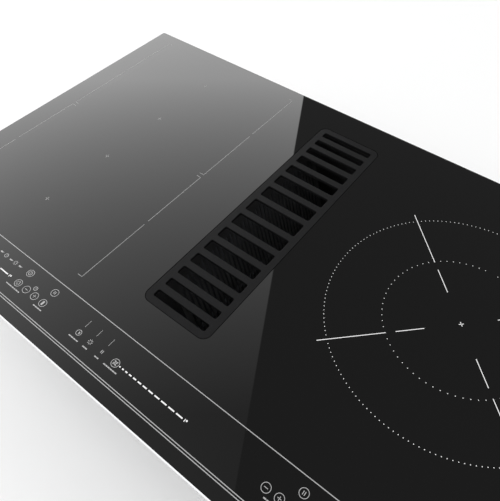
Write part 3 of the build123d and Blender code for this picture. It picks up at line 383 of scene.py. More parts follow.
def finishes() -> dict[str, Finish]:
    """The finish of every slot of the record."""
    screen_low, screen_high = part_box("filter_screen_left")
    edge_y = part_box("glass_top")[0].y
    return {
        "ceramic_glass": GlassFinish(
            "black_glass", grey(0.0029), 0.004, wear=0.008, relief=0.002 * MM, edge_y=edge_y
        ),
        "rubber": Finish("black_rubber", (0.02, 0.02, 0.021), 0.78, grain=0.7 * MM),
        "aluminium": BrushedFinish("rolled_aluminium", (0.72, 0.73, 0.74), 0.34, 1.0),
        "sheet_steel": BrushedFinish(
            "galvanised_sheet", (0.56, 0.57, 0.58), 0.40, 0.9, grain=9 * MM
        ),
        "screw_steel": Finish("zinc_plated", (0.66, 0.67, 0.69), 0.28, 1.0, grain=0.8 * MM),
        "grille_black": Finish(
            "black_enamel", (0.0068, 0.0068, 0.0072), 0.5, grain=0.4 * MM, gloss=0.12
        ),
        "black_plastic": Finish("black_moulding", (0.024, 0.024, 0.026), 0.52, grain=0.6 * MM),
        "filter_steel": FilterFinish(
            "filter_sheet", grey(0.58), 0.38, 1.0, along=(1.0, 1.0, 40.0),
            ends=(screen_low.y - 1 * MM, screen_high.y + 1 * MM),
        ),
        "duct_plastic": Finish(
            "grey_moulding", (0.15, 0.155, 0.165), 0.5, grain=0.7 * MM, mottle=0.035
        ),
        "tray_plastic": Finish(
            "dark_moulding", (0.07, 0.072, 0.077), 0.46, grain=0.8 * MM, mottle=0.04
        ),
        "motor_steel": Finish("passivated_steel", (0.36, 0.37, 0.39), 0.42, 0.9),
        "winding": StrandedFinish("stranded_copper", (0.60, 0.27, 0.13), 0.36, 0.75),
        "former_plastic": Finish("heatproof_moulding", (0.10, 0.095, 0.09), 0.6),
        "ferrite": Finish("sintered_ferrite", (0.045, 0.045, 0.05), 0.68, grain=0.5 * MM),
        "mica": Finish("pressed_mica", (0.50, 0.43, 0.33), 0.42, grain=6 * MM, mottle=0.2),
        "sensor_white": Finish("white_ceramic", (0.82, 0.82, 0.80), 0.4, grain=0.6 * MM),
        "board": BoardFinish("circuit_board", (0.02, 0.13, 0.055), 0.32),
        "capacitor_sleeve": Finish("shrunk_sleeve", (0.02, 0.03, 0.07), 0.3),
    }


# ------------------------------------------------------------------ mesh building
class Body(Enum):
    """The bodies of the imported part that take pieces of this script."""

    CHASSIS = "chassis"
    TRAY = "tray"


def add_object(name: str, data: bpy.types.ID) -> Object:
    """Put a mesh, lamp or camera into the scene."""
    made = bpy.data.objects.new(name, data)
    bpy.context.scene.collection.objects.link(made)
    return made


class Form:
    """A mesh that is filled piece by piece with closed solids, then put on a body."""

    def __init__(self) -> None:
        """Start an empty mesh."""
        self.mesh = bmesh.new()

    def loft(self, rings: Sequence[Iterable[Vector]]) -> None:
        """Skin rings of equal count into one closed body with flat ends."""
        made = [[self.mesh.verts.new(corner) for corner in ring] for ring in rings]
        self.mesh.faces.new(reversed(made[0]))
        self.mesh.faces.new(made[-1])
        for ring, following in zip(made, made[1:]):
            for corner in range(len(ring)):
                after = (corner + 1) % len(ring)
                self.mesh.faces.new(
                    (ring[corner], ring[after], following[after], following[corner])
                )

    def rib(
        self, foot: Vector, out: Vector, along: Vector, size: Triple, draft: float = 0.7
    ) -> None:
        """A moulded rib that narrows away from its wall.

        Args:
            foot: The middle of its foot, on the wall.
            out: Unit direction away from the wall.
            along: Unit direction of its length.
            size: Its length, its thickness and how far it stands proud.
            draft: Share of the thickness that is left at its crest.
        """
        length, thick, proud = size
        across = along.cross(out).normalized()
        sunk = -0.3 * MM
        rings = []
        for rise, share in ((sunk, 1.0), (proud * 0.8, (1 + draft) / 2), (proud, draft * 0.7)):
            end = length / 2 - max(rise, 0.0) * 0.35
            half = thick / 2 * share
            corners = ((-end, -half), (end, -half), (end, half), (-end, half))
            rings.append([foot + out * rise + along * run + across * side for run, side in corners])
        self.loft(rings)

    def screw(self, at: Vector, out: Vector, radius: float, rise: float, shank: float) -> None:
        """A pan head screw with a six-lobed drive.

        Args:
            at: The middle of the head's underside.
            out: Unit direction that the head faces.
            radius: Radius of the head.
            rise: Height of the head.
            shank: Length of the shank below the head.
        """
        side = out.orthogonal().normalized()
        other = out.cross(side)
        thread, steps, lobes = radius * 0.5, 24, 6
        profile = (
            (-shank, thread * 0.7, 0.0), (-shank + thread * 0.5, thread, 0.0),
            (0.0, thread, 0.0), (0.0, radius, 0.0), (rise * 0.45, radius, 0.0),
            (rise * 0.85, radius * 0.86, 0.0), (rise, radius * 0.62, 0.0),
            (rise, radius * 0.44, 0.13), (rise * 0.35, radius * 0.40, 0.13),
        )
        angles = [math.tau * step / steps for step in range(steps)]
        rings = []
        for height, reach, lobe in profile:
            away = [reach * (1.0 + lobe * math.cos(lobes * angle)) for angle in angles]
            turned = [between(angle, side, other) for angle in angles]
            rings.append([at + out * height + way * far for way, far in zip(turned, away)])
        self.loft(rings)

    def bead(self, start: Vector, end: Vector, out: Vector, width: float, proud: float) -> None:
        """A long rounded bead pressed into sheet metal.

        Args:
            start: One end of its middle line, on the sheet.
            end: The other end.
            out: Unit direction away from the sheet.
            width: Width of the bead.
            proud: Height of the bead.
        """
        along = (end - start).normalized()
        across = along.cross(out) * (width / 2)
        steps, sunk = 8, out * (0.2 * MM)
        last = math.pi / 2 / (steps - 0.6)
        rings = []
        for middle, turn in ((start, -1), (end, 1)):
            for step in range(steps)[::turn]:
                shift, share = math.sin(last * step), math.cos(last * step)
                centre = middle + along * (turn * shift * width / 2)
                bows = (
                    between(math.pi * part / steps, -across, out * proud)
                    for part in range(steps + 1)
                )
                foot = across * share
                ring = [centre + bow * share for bow in bows]
                rings.append([centre - foot - sunk, *ring, centre + foot - sunk])
        self.loft(rings)

    def slab(self, outline: Sequence[Point], low: float, high: float, draft: float = 0.0) -> None:
        """An upright block over an outline, with its top corners nearer the middle by a draft."""
        foot = [Vector(corner) for corner in outline]
        middle = sum(foot, Vector((0.0, 0.0))) / len(foot)
        top = [corner + (middle - corner).normalized() * draft for corner in foot]
        rings = ((foot, low), (top, high))
        self.loft([[Vector((*corner, z)) for corner in ring] for ring, z in rings])

    def block(self, x: Point, y: Point, z: Point, draft: float = 0.0) -> None:
        """An upright block between two places on each axis."""
        outline = ((x[0], y[0]), (x[1], y[0]), (x[1], y[1]), (x[0], y[1]))
        self.slab(outline, *z, draft)

    def settle(self, name: str) -> Object:
        """Turn the mesh into an object of the scene."""
        made = add_object(name, bpy.data.meshes.new(name))
        self.mesh.to_mesh(made.data)
        self.mesh.free()
        return made

    def carve(self, node: Object) -> Form:
        """Cut this form out of a copy of a CAD node, which itself stays as it is."""
        blank, carved = Form(), Form()
        blank.mesh.from_mesh(node.data)
        bmesh.ops.remove_doubles(blank.mesh, verts=blank.mesh.verts, dist=WELD)
        bmesh.ops.recalc_face_normals(self.mesh, faces=self.mesh.faces)
        tool, block = self.settle("cutter"), blank.settle("blank")
        for kept in ("custom_normal", "sharp_edge", "sharp_face"):
            if kept in block.data.attributes:
                block.data.attributes.remove(block.data.attributes[kept])
        cut = block.modifiers.new("cut", "BOOLEAN")
        cut.operation, cut.solver, cut.object = "DIFFERENCE", "EXACT", tool
        graph = bpy.context.evaluated_depsgraph_get()
        result = bpy.data.meshes.new_from_object(block.evaluated_get(graph))
        carved.mesh.from_mesh(result)
        for data in (result, tool.data, block.data):
            bpy.data.meshes.remove(data)
        return carved

    def piece(
        self, name: str, slot: str, material: Material, *replaces: str,
        body: Body = Body.CHASSIS, shade_angle: float = 30.0,
    ) -> None:
        """Finish the mesh as a named piece that rides on a body.

        Args:
            name: The piece's name.
            slot: The record's slot that its finish comes from; not used.
            material: What it is made of.
            replaces: CAD nodes that it stands for.
            body: The CAD body that it moves with.
            shade_angle: Angle in degrees under which faces shade as one.
        """
        bmesh.ops.recalc_face_normals(self.mesh, faces=self.mesh.faces)
        made = self.settle(name)
        made.data.materials.append(material)
        made.data.shade_smooth()
        made.data.set_sharp_from_angle(angle=math.radians(shade_angle))
        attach(made, body.value)
        if replaces:
            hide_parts(*replaces)
        log.info("%s: %d faces on %s", name, len(made.data.polygons), body.value)


# ------------------------------------------------------------------ studio
@dataclass
class Studio:
    """Pale floor, soft lights, the bright card that the glass mirrors, and the camera."""

    camera_at: Triple = (0.219753, -0.313461, 0.678313)
    camera_right: Triple = (0.787695, 0.616066, -0.000183)
    camera_down: Triple = (0.486358, -0.622035, -0.613619)
    lens: float = 36.896
    floor_size: float = 40.0
    floor_level: float = -0.3 * MM
    lit_under: float = 80 * MM
    card_height: float = 1.6
    card_from: Point = (-1.073, 1.823)
    card_to: Point = (-0.2516, 0.3035)
    card_size: float = 9.0
    card_axis: Point = (-0.6163, 0.7876)
    card_soft: float = 0.003
    dark_side: float = 0.19

    def world(self) -> None:
        """A plain pale surround that is white where the camera sees it."""
        world = bpy.data.worlds.new("surround")
        bpy.context.scene.world = world
        tree = Tree(world)
        seen = tree.wire(tree.node("LightPath"), "Is Camera Ray")
        lit = tree.node("Background", Color=grey(0.97), Strength=0.86)
        white = tree.node("Background", Color=grey(1.0), Strength=1.0)
        tree.output(tree.blend(seen, lit, white), "World")

    def plane(self, name: str, size: float, height: float) -> tuple[Object, Tree]:
        """A level square of stage, with its material's still empty tree."""
        bpy.ops.mesh.primitive_plane_add(size=size, location=(0, 0, height))
        made = bpy.context.object
        made.name = name
        made.data.materials.append(bpy.data.materials.new(name))
        made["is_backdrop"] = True
        return made, Tree(made.active_material)

    def floor(self) -> None:
        """The pale floor that the unit stands on.

        It can be looked through from below, and lets light reach the faces that rest on it.
        """
        _, tree = self.plane("floor", self.floor_size, self.floor_level)
        pale = tree.node("BsdfPrincipled", Base_Color=grey(0.86), Roughness=0.85)
        clear = tree.node("BsdfTransparent")
        behind = tree.wire(tree.node("NewGeometry"), "Backfacing")
        path = tree.node("LightPath")
        touching = tree.wire(path, "Ray Length") < self.lit_under
        through = behind + touching * tree.wire(path, "Is Diffuse Ray")
        tree.output(tree.blend(through, pale, clear))

    def card(self) -> None:
        """The large card overhead: bright on one side of a straight edge, dark on the other.

        Its glow is a tilted bowl over the part that the main view mirrors, and falls off beyond.
        Only mirror rays meet it, so it lights nothing.
        """
        card, tree = self.plane("mirrored_card", self.card_size, self.card_height)
        card.rotation_euler = (math.pi, 0.0, 0.0)
        card.visible_camera = card.visible_diffuse = False
        card.visible_shadow = card.visible_transmission = False
        edge = Vector(self.card_to) - Vector(self.card_from)
        normal = Vector((-edge.y, edge.x)).normalized()
        start = normal.dot(Vector(self.card_from))
        x, y, _ = tree.place("NewGeometry", "Position")
        side = (x * normal.x + y * normal.y - start).smooth(-self.card_soft, self.card_soft)
        axis_x, axis_y = self.card_axis
        reach = x * axis_x + y * axis_y
        depth = reach.held(0.3, 2.4)
        across = (x * axis_y - y * axis_x).held(-1.5, 0.6)
        bowl = depth * (depth * 0.345 + across * 0.136 + 0.805) + across * (across * 0.47 - 0.16)
        glow = (bowl + 0.057) * (1.0 - reach.smooth(3.0, 4.2) * 0.75)
        strength = glow * (1.0 - side) + side * self.dark_side
        tree.output(tree.node("Emission", Color=grey(0.98), Strength=strength))

    def lamp(self, name: str, at: Triple, size: float, power: float) -> None:
        """One soft square lamp that faces the unit and shows in no reflection."""
        data = bpy.data.lights.new(name, "AREA")
        data.size, data.energy = size, power
        lamp = add_object(name, data)
        lamp.location = at
        aim = Vector((0.0, 0.0, 0.1)) - Vector(at)
        lamp.rotation_euler = aim.to_track_quat("-Z", "Y").to_euler()
        lamp.visible_glossy = False

    def camera(self) -> None:
        """The camera, at the place and with the lens that the view was taken with."""
        data = bpy.data.cameras.new("camera")
        data.lens, data.sensor_width, data.clip_start = self.lens, 36.0, 0.01
        bpy.context.scene.camera = camera = add_object("camera", data)
        right, up = Vector(self.camera_right), -Vector(self.camera_down)
        turned = Matrix((right, up, right.cross(up))).transposed().to_4x4()
        camera.matrix_world = Matrix.Translation(self.camera_at) @ turned

    def build(self) -> None:
        """Set up the whole studio."""
        bpy.context.scene.view_settings.view_transform = "Standard"
        self.world()
        self.floor()
        self.card()
        self.lamp("key", (-1.4, -0.9, 2.2), 1.8, 26.0)
        self.lamp("fill", (1.9, -1.2, 1.5), 1.6, 9.0)
        self.lamp("rear", (0.6, 2.3, 1.6), 1.6, 10.0)
        self.camera()
        log.info("studio ready")


# ------------------------------------------------------------------ marks on the glass
@dataclass
class Print:
    """Thin enamel marks on the glass, drawn in millimetres from its middle."""

    level: float
    sunk: float = 0.02 * MM
    proud: float = 0.04 * MM
    form: Form = field(default_factory=Form)

    def patch(self, corners: Sequence[Point]) -> None:
        """Print one area with these corners."""
        low, high = self.level - self.sunk, self.level + self.proud
        self.form.loft([[Vector((x * MM, y * MM, z)) for x, y in corners] for z in (low, high)])

    def bar(self, at: Point, width: float, height: float, turn: float = 0.0) -> None:
        """Print a bar round its middle, turned by degrees."""
        cosine, sine = math.cos(math.radians(turn)), math.sin(math.radians(turn))
        x, y = width / 2, height / 2
        corners = ((-x, -y), (x, -y), (x, y), (-x, y))
        self.patch(
            [(at[0] + x * cosine - y * sine, at[1] + x * sine + y * cosine) for x, y in corners]
        )

    def line(self, start: Point, end: Point, width: float) -> None:
        """Print a straight line between two points."""
        dx, dy = end[0] - start[0], end[1] - start[1]
        middle = ((start[0] + end[0]) / 2, (start[1] + end[1]) / 2)
        self.bar(middle, math.hypot(dx, dy), width, math.degrees(math.atan2(dy, dx)))

    def dot(self, at: Point, radius: float, corners: int = 10) -> None:
        """Print a round dot."""
        self.patch([polar(at, radius, math.tau * step / corners) for step in range(corners)])

    def ring(
        self, at: Point, radius: float, width: float, start: float = 0.0, sweep: float = 360.0
    ) -> None:
        """Print a ring, or an arc from a start over a sweep in degrees."""
        steps = max(6, round(sweep / 9.0))
        angles = [math.radians(start + sweep * step / steps) for step in range(steps + 1)]
        inner, outer = radius - width / 2, radius + width / 2
        for first, last in zip(angles, angles[1:]):
            ends = ((inner, first), (outer, first), (outer, last), (inner, last))
            self.patch([polar(at, reach, angle) for reach, angle in ends])

    def rays(self, at: Point, run: Point, width: float, angles: Iterable[float]) -> None:
        """Print lines that point away from a middle, between two distances from it."""
        for angle in map(math.radians, angles):
            self.line(polar(at, run[0], angle), polar(at, run[1], angle), width)

    def finish(self, name: str, material: Material) -> None:
        """Put the print on the chassis under this name."""
        self.form.piece(name, "sensor_white", material)


@dataclass
class GlassMarks:
    """The lines and the zones that are printed on the glass plate, in millimetres."""

    level: float
    line_width: float = 0.8
    zone_line: float = 0.75
    front_lines: tuple[float, ...] = (-239.4, -241.9, -190.25)
    length: float = 828.0
    flex_x: Point = (-381.8, -129.1)
    flex_rows: tuple[Point, ...] = ((-170.9, 28.3), (34.3, 235.3))
    flex_gaps: Point = (-70.5, 135.0)
    flex_gap: float = 6.4
    tick: float = 6.6
    cross_x: float = -255.5
    cross_y: tuple[float, ...] = (-118.4, -18.1, 82.4, 182.8)
    cross: float = 5.8
    ring_at: Point = (228.2, 31.9)
    ring_outer: float = 142.3
    ring_inner: float = 81.5
    ring_cross: float = 5.4
    ray_runs: tuple[Point, ...] = ((39.7, 70.2), (80.7, 153.0))
    dot: float = 0.47

    def front(self) -> Print:
        """The lines along the front edge and above the touch panel."""
        made = Print(self.level)
        for y in self.front_lines:
            made.bar((0, y), self.length, self.line_width)
        return made

    def flex_zone(self) -> Print:
        """The two joined rectangles of the flexible zone and their crosses."""
        made = Print(self.level)
        left, right = self.flex_x
        for (low, high), gap in zip(self.flex_rows, self.flex_gaps):
            ends = ((low, gap - self.flex_gap / 2), (gap + self.flex_gap / 2, high))
            for x, tick in ((left, self.tick), (right, -self.tick)):
                for start, end in ends:
                    made.line((x, start), (x, end), self.zone_line)
                for y in (low, high):
                    made.line((x, y), (x + tick, y), self.zone_line)
        for y in self.cross_y:
            made.bar((self.cross_x, y), self.cross, self.zone_line)
            made.bar((self.cross_x, y), self.zone_line, self.cross)
        return made

    def round_zone(self) -> Print:
        """The dotted circles of the round zone and their diagonal rays."""
        made = Print(self.level)
        outer = (degree for degree in range(1, 360, 2) if abs(degree % 90 - 45) > 1)
        inner = (degree for degree in range(0, 360, 5) if degree % 90 != 45 and degree != 90)
        for radius, degrees in ((self.ring_outer, outer), (self.ring_inner, inner)):
            for degree in degrees:
                made.dot(polar(self.ring_at, radius, math.radians(degree)), self.dot)
        for run in self.ray_runs:
            made.rays(self.ring_at, run, self.line_width, range(45, 360, 90))
        for turn in (45, -45):
            made.bar(self.ring_at, self.ring_cross, self.zone_line, turn)
        return made

    def build(
        self, white: Material, pale: Material, dim: Material
    ) -> None:
        """Print the lines in pale, the flexible zone in dim and the round zone in white."""
        self.front().finish("front_lines", pale)
        self.flex_zone().finish("flex_zone_print", dim)
        self.round_zone().finish("round_zone_print", white)


@dataclass(frozen=True)
class Sign:
    """A generic sign, as strokes in millimetres round its middle."""

    bars: tuple[tuple[float, float, float, float], ...] = ()
    ring: tuple[float, float, float] | None = None
    wedge: tuple[float, tuple[float, ...]] | None = None
    spokes: tuple[Point, float, int, float] | None = None
    tips: tuple[float, float, float] | None = None

    def draw(self, made: Print, at: Point, thick: float) -> None:
        """Print the sign round a middle, with lines this thick where it gives no width."""
        for x, y, width, height in self.bars:
            made.bar((at[0] + x, at[1] + y), width, height)
        if self.ring:
            radius, start, sweep = self.ring
            made.ring(at, radius, thick, start, sweep)
        if self.wedge:
            radius, angles = self.wedge
            made.patch([polar(at, radius, math.radians(angle)) for angle in angles])
        if self.spokes:
            run, width, count, first = self.spokes
            angles = [first + 360 / count * index for index in range(count)]
            made.rays(at, run, width, angles)
            for angle in angles if self.tips else ():
                away, lead, size = self.tips
                made.dot(polar(at, away, math.radians(angle + lead)), size)


@dataclass
class TouchPanel:
    """The touch keys and slider marks along the front, in millimetres from the middle."""

    level: float
    row: float = -219.5
    upper_row: float = -203.2
    label_row: float = -227.0
    tick_row: float = -206.5
    line: float = 0.55
    thick: float = 0.605
    fine: float = 0.484
    key: float = 4.4
    dash_gap: float = 2.4
    keys: tuple[tuple[float, str], ...] = (
        (-177.6, "steam"), (-163.5, "minus"), (-149.5, "plus"), (-135.4, "bar"),
        (-22.5, "blades"), (163.5, "minus"), (177.5, "plus"), (191.5, "on"),
    )
    upper_keys: tuple[tuple[float, str], ...] = (
        (-177.6, "clock"), (-135.4, "pause"), (191.5, "pause"),
    )
    small_signs: tuple[tuple[float, float, str], ...] = (
        (-229.0, -204.0, "pan"), (-220.0, -204.3, "clock"), (-211.0, -205.0, "pan"),
        (-203.0, -204.5, "steam"), (-195.0, -204.5, "pan"), (-156.4, -212.5, "clock"),
        (-77.3, -219.3, "timer"), (-59.7, -219.3, "steam"), (-42.0, -219.3, "pause"),
        (228.0, -204.0, "pan"), (237.0, -204.0, "clock"), (246.0, -204.5, "steam"),
    )
    tick_x: tuple[float, ...] = (-77.3, -59.7, -42.0)
    labels: tuple[Point, ...] = (
        (-177.7, 23.0), (-135.5, 13.6), (-77.0, 14.0), (-59.5, 7.0), (-42.0, 6.0),
        (-22.5, 19.0), (177.5, 23.0),
    )
    dashes: int = 12
    first_dash: float = 1.5
    sliders: tuple[Point, ...] = ((-313.5, 1.1), (-16.7, 0.6), (212.0, 1.1))

    def signs(self) -> dict[str, Sign]:
        """Every sign that the panel uses, by its name."""
        thick, fine = self.thick, self.fine
        level = (0, 0, 4.0, thick)
        return {
            "minus": Sign(bars=(level,)),
            "plus": Sign(bars=(level, (0, 1.28, thick, 1.44), (0, -1.28, thick, 1.44))),
            "bar": Sign(bars=((0, 0, 2.3, 5.2),)),
            "pan": Sign(bars=((0, 0, 3.4, 1.7), (2.6, 0.4, 1.8, thick))),
            "pause": Sign(bars=((-0.9, 0, 0.7, 3.6), (0.9, 0, 0.7, 3.6))),
            "on": Sign(bars=((0, 1.7, thick, 1.9),), ring=(1.9, 120, 300)),
            "clock": Sign(bars=((0, 0.75, fine, 1.3), (0.75, 0, 1.2, fine)), ring=(2.3, 0, 360)),
            "timer": Sign(ring=(3.1, 0, 360), wedge=(1.9, (-80, 10, 100))),
            "blades": Sign(spokes=((0, 2.3), 1.1, 4, 20), tips=(2.2, 24, 0.8)),
            "steam": Sign(spokes=((1.3, 3.0), thick, 8, 0)),
        }

    def slider(self, made: Print, start: float, growth: float) -> None:
        """A row of dashes from a start, each longer by the growth, and the mark at its end."""
        end = start - self.dash_gap
        for index in range(self.dashes):
            length = self.first_dash + growth * index
            made.bar((end + self.dash_gap + length / 2, self.row), length, 1.35)
            end += self.dash_gap + length
        made.bar((end + 2.6, self.row), 0.8, 3.0)
        made.dot((end + 4.6, self.row + 0.7), 1.0)

    def label(self, made: Print, x: float, width: float) -> None:
        """A blank label under a key: a few short bars in place of a word."""
        bars = max(2, round(width / 3.2))
        pitch = width / bars
        for index in range(bars):
            middle = x - width / 2 + (index + 0.5) * pitch
            made.bar((middle, self.label_row), pitch - 0.45, 1.25)

    def build(self, white: Material, pale: Material) -> None:
        """Print the sliders in white, and the keys, labels and small signs in pale."""
        bright, faint = Print(self.level), Print(self.level)
        signs = self.signs()
        for y, keys in ((self.row, self.keys), (self.upper_row, self.upper_keys)):
            for x, kind in keys:
                faint.ring((x, y), self.key, self.line)
                signs[kind].draw(faint, (x, y), self.thick)
        for x, y, kind in self.small_signs:
            signs[kind].draw(faint, (x, y), self.thick)
        for x in self.tick_x:
            faint.bar((x, self.tick_row), self.line * 0.7, 9.0)
        for x, width in self.labels:
            self.label(faint, x, width)
        for start, growth in self.sliders:
            self.slider(bright, start, growth)
        bright.finish("slider_print", white)
        faint.finish("key_print", pale)


# ------------------------------------------------------------------ fittings and moulded detail
def loose_parts(node: Object) -> list[tuple[Vector, Vector]]:
    """The lowest and highest corner of each separate solid of a CAD node, in a steady order."""
    mesh = bmesh.new()
    mesh.from_mesh(node.data)
    bmesh.ops.remove_doubles(mesh, verts=mesh.verts, dist=WELD)
    left = set(mesh.verts)
    found = []
    while left:
        first = left.pop()
        reached, edge = [first], [first]
        while edge:
            near = {vertex for link in edge.pop().link_edges for vertex in link.verts} & left
            left -= near
            reached.extend(near)
            edge.extend(near)
        spots = [vertex.co for vertex in reached]
        low = Vector(min(spot[axis] for spot in spots) for axis in range(3))
        high = Vector(max(spot[axis] for spot in spots) for axis in range(3))
        found.append((low, high))
    mesh.free()
    return sorted(found, key=lambda pair: tuple(round(part, 5) for part in pair[0]))


@dataclass
class Trim:
    """Detail that is made round CAD nodes, each piece in the finish of its slot."""

    nodes: dict[str, Object]
    made: dict[str, Material]

    def add(self, form: Form, name: str, slot: str, *replaces: str, **rest: Any) -> None:
        """Finish a form as a piece in its slot's material, with what else Form.piece takes."""
        form.piece(name, slot, self.made[slot], *replaces, **rest)


@dataclass
class CasingTrim(Trim):
    """Screws of the casing and of the shaft, and the beads pressed into the sheet steel.

    The rows, steps and runs of beads are in millimetres.
    """

    bead_width: float = 9.0 * MM
    bead_proud: float = 1.3 * MM
    screw: Triple = (3.0 * MM, 1.6 * MM, 5.8 * MM)
    floor_inset: float = 30 * MM
    floor_gap: float = 26 * MM
    floor_rows: range = range(-150, 187, 84)
    beside_plenum: tuple[int, ...] = (24, 48, 72)
    beside_run: Point = (60, 205)
    vents: tuple[Point, float] = ((-150 * MM, 0.0), -175 * MM)
    wall_height: float = 20 * MM
    wall_inset: float = 40 * MM
    side_runs: tuple[Point, ...] = ((-200, -150), (-108, 108), (150, 200))
    back_runs: tuple[Point, ...] = ((-120, 90), (280, 350))

    def wall_screws(self) -> None:
        """Screws round the casing, each facing out of its wall."""
        form = Form()
        low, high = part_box("casing_walls")
        for lowest, highest in loose_parts(self.nodes["casing_screws"]):
            at = (lowest + highest) / 2
            axis = 0 if highest.x - lowest.x > highest.y - lowest.y else 1
            outer = at[axis] > 0
            at[axis] = high[axis] if outer else low[axis]
            out = ((LEFT, RIGHT), (FRONT, BACK))[axis][outer]
            form.screw(at, out, *self.screw)
        self.add(form, "casing_screw_set", "screw_steel", "casing_screws")

    def shaft_screws(self) -> None:
        """Screws that hold the shaft's upper flange under the casing."""
        form = Form()
        head, rise, _ = self.screw
        for lowest, highest in loose_parts(self.nodes["shaft_screws"]):
            at = (lowest + highest) / 2
            at.z = lowest.z + rise
            form.screw(at, DOWN, head, rise, highest.z - at.z)
        self.add(form, "shaft_screw_set", "screw_steel", "shaft_screws")

    def beads(self, name: str, runs: Iterable[tuple[Triple, Triple, Vector]]) -> None:
        """Beads pressed out of the sheet steel, each from one point of it to another."""
        form = Form()
        for start, end, out in runs:
            form.bead(Vector(start), Vector(end), out, self.bead_width, self.bead_proud)
        self.add(form, name, "sheet_steel")

    def floor_beads(self) -> None:
        """Stiffening beads under the casing floor, clear of vents and of what hangs there."""
        runs = []
        low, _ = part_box("casing_floor")
        shaft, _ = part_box("intake_shaft")
        housing_low, housing_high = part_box("blower_controller")
        (vent_low, vent_high), vent_left = self.vents
        left, gap = low.x + self.floor_inset, self.floor_gap
        for row in self.floor_rows:
            y = row * MM
            right = shaft.x - gap
            if housing_low.y - gap < y < housing_high.y + gap:
                right = min(right, housing_low.x - gap)
            if vent_low < y < vent_high:
                right = min(right, vent_left)
            runs.append(((left, y, low.z), (right, y, low.z), DOWN))
        front, back = (end * MM for end in self.beside_run)
        for step in self.beside_plenum:
            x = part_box("plenum")[1].x + step * MM
            runs.append(((x, front, low.z), (x, back, low.z), DOWN))
        self.beads("floor_beads", runs)

    def wall_beads(self) -> None:
        """One long bead along the front, and short ones at the sides and the back."""
        low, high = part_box("casing_walls")
        z, inset = low.z + self.wall_height, self.wall_inset
        runs = [((low.x + inset, low.y, z), (high.x - inset, low.y, z), FRONT)]
        for x, out in ((low.x, LEFT), (high.x, RIGHT)):
            for start, end in self.side_runs:
                runs.append(((x, start * MM, z), (x, end * MM, z), out))
        for start, end in self.back_runs:
            runs.append(((start * MM, high.y, z), (end * MM, high.y, z), BACK))
        self.beads("wall_beads", runs)

    def build(self) -> None:
        """Make all of it."""
        for step in (self.wall_screws, self.shaft_screws, self.floor_beads, self.wall_beads):
            step()


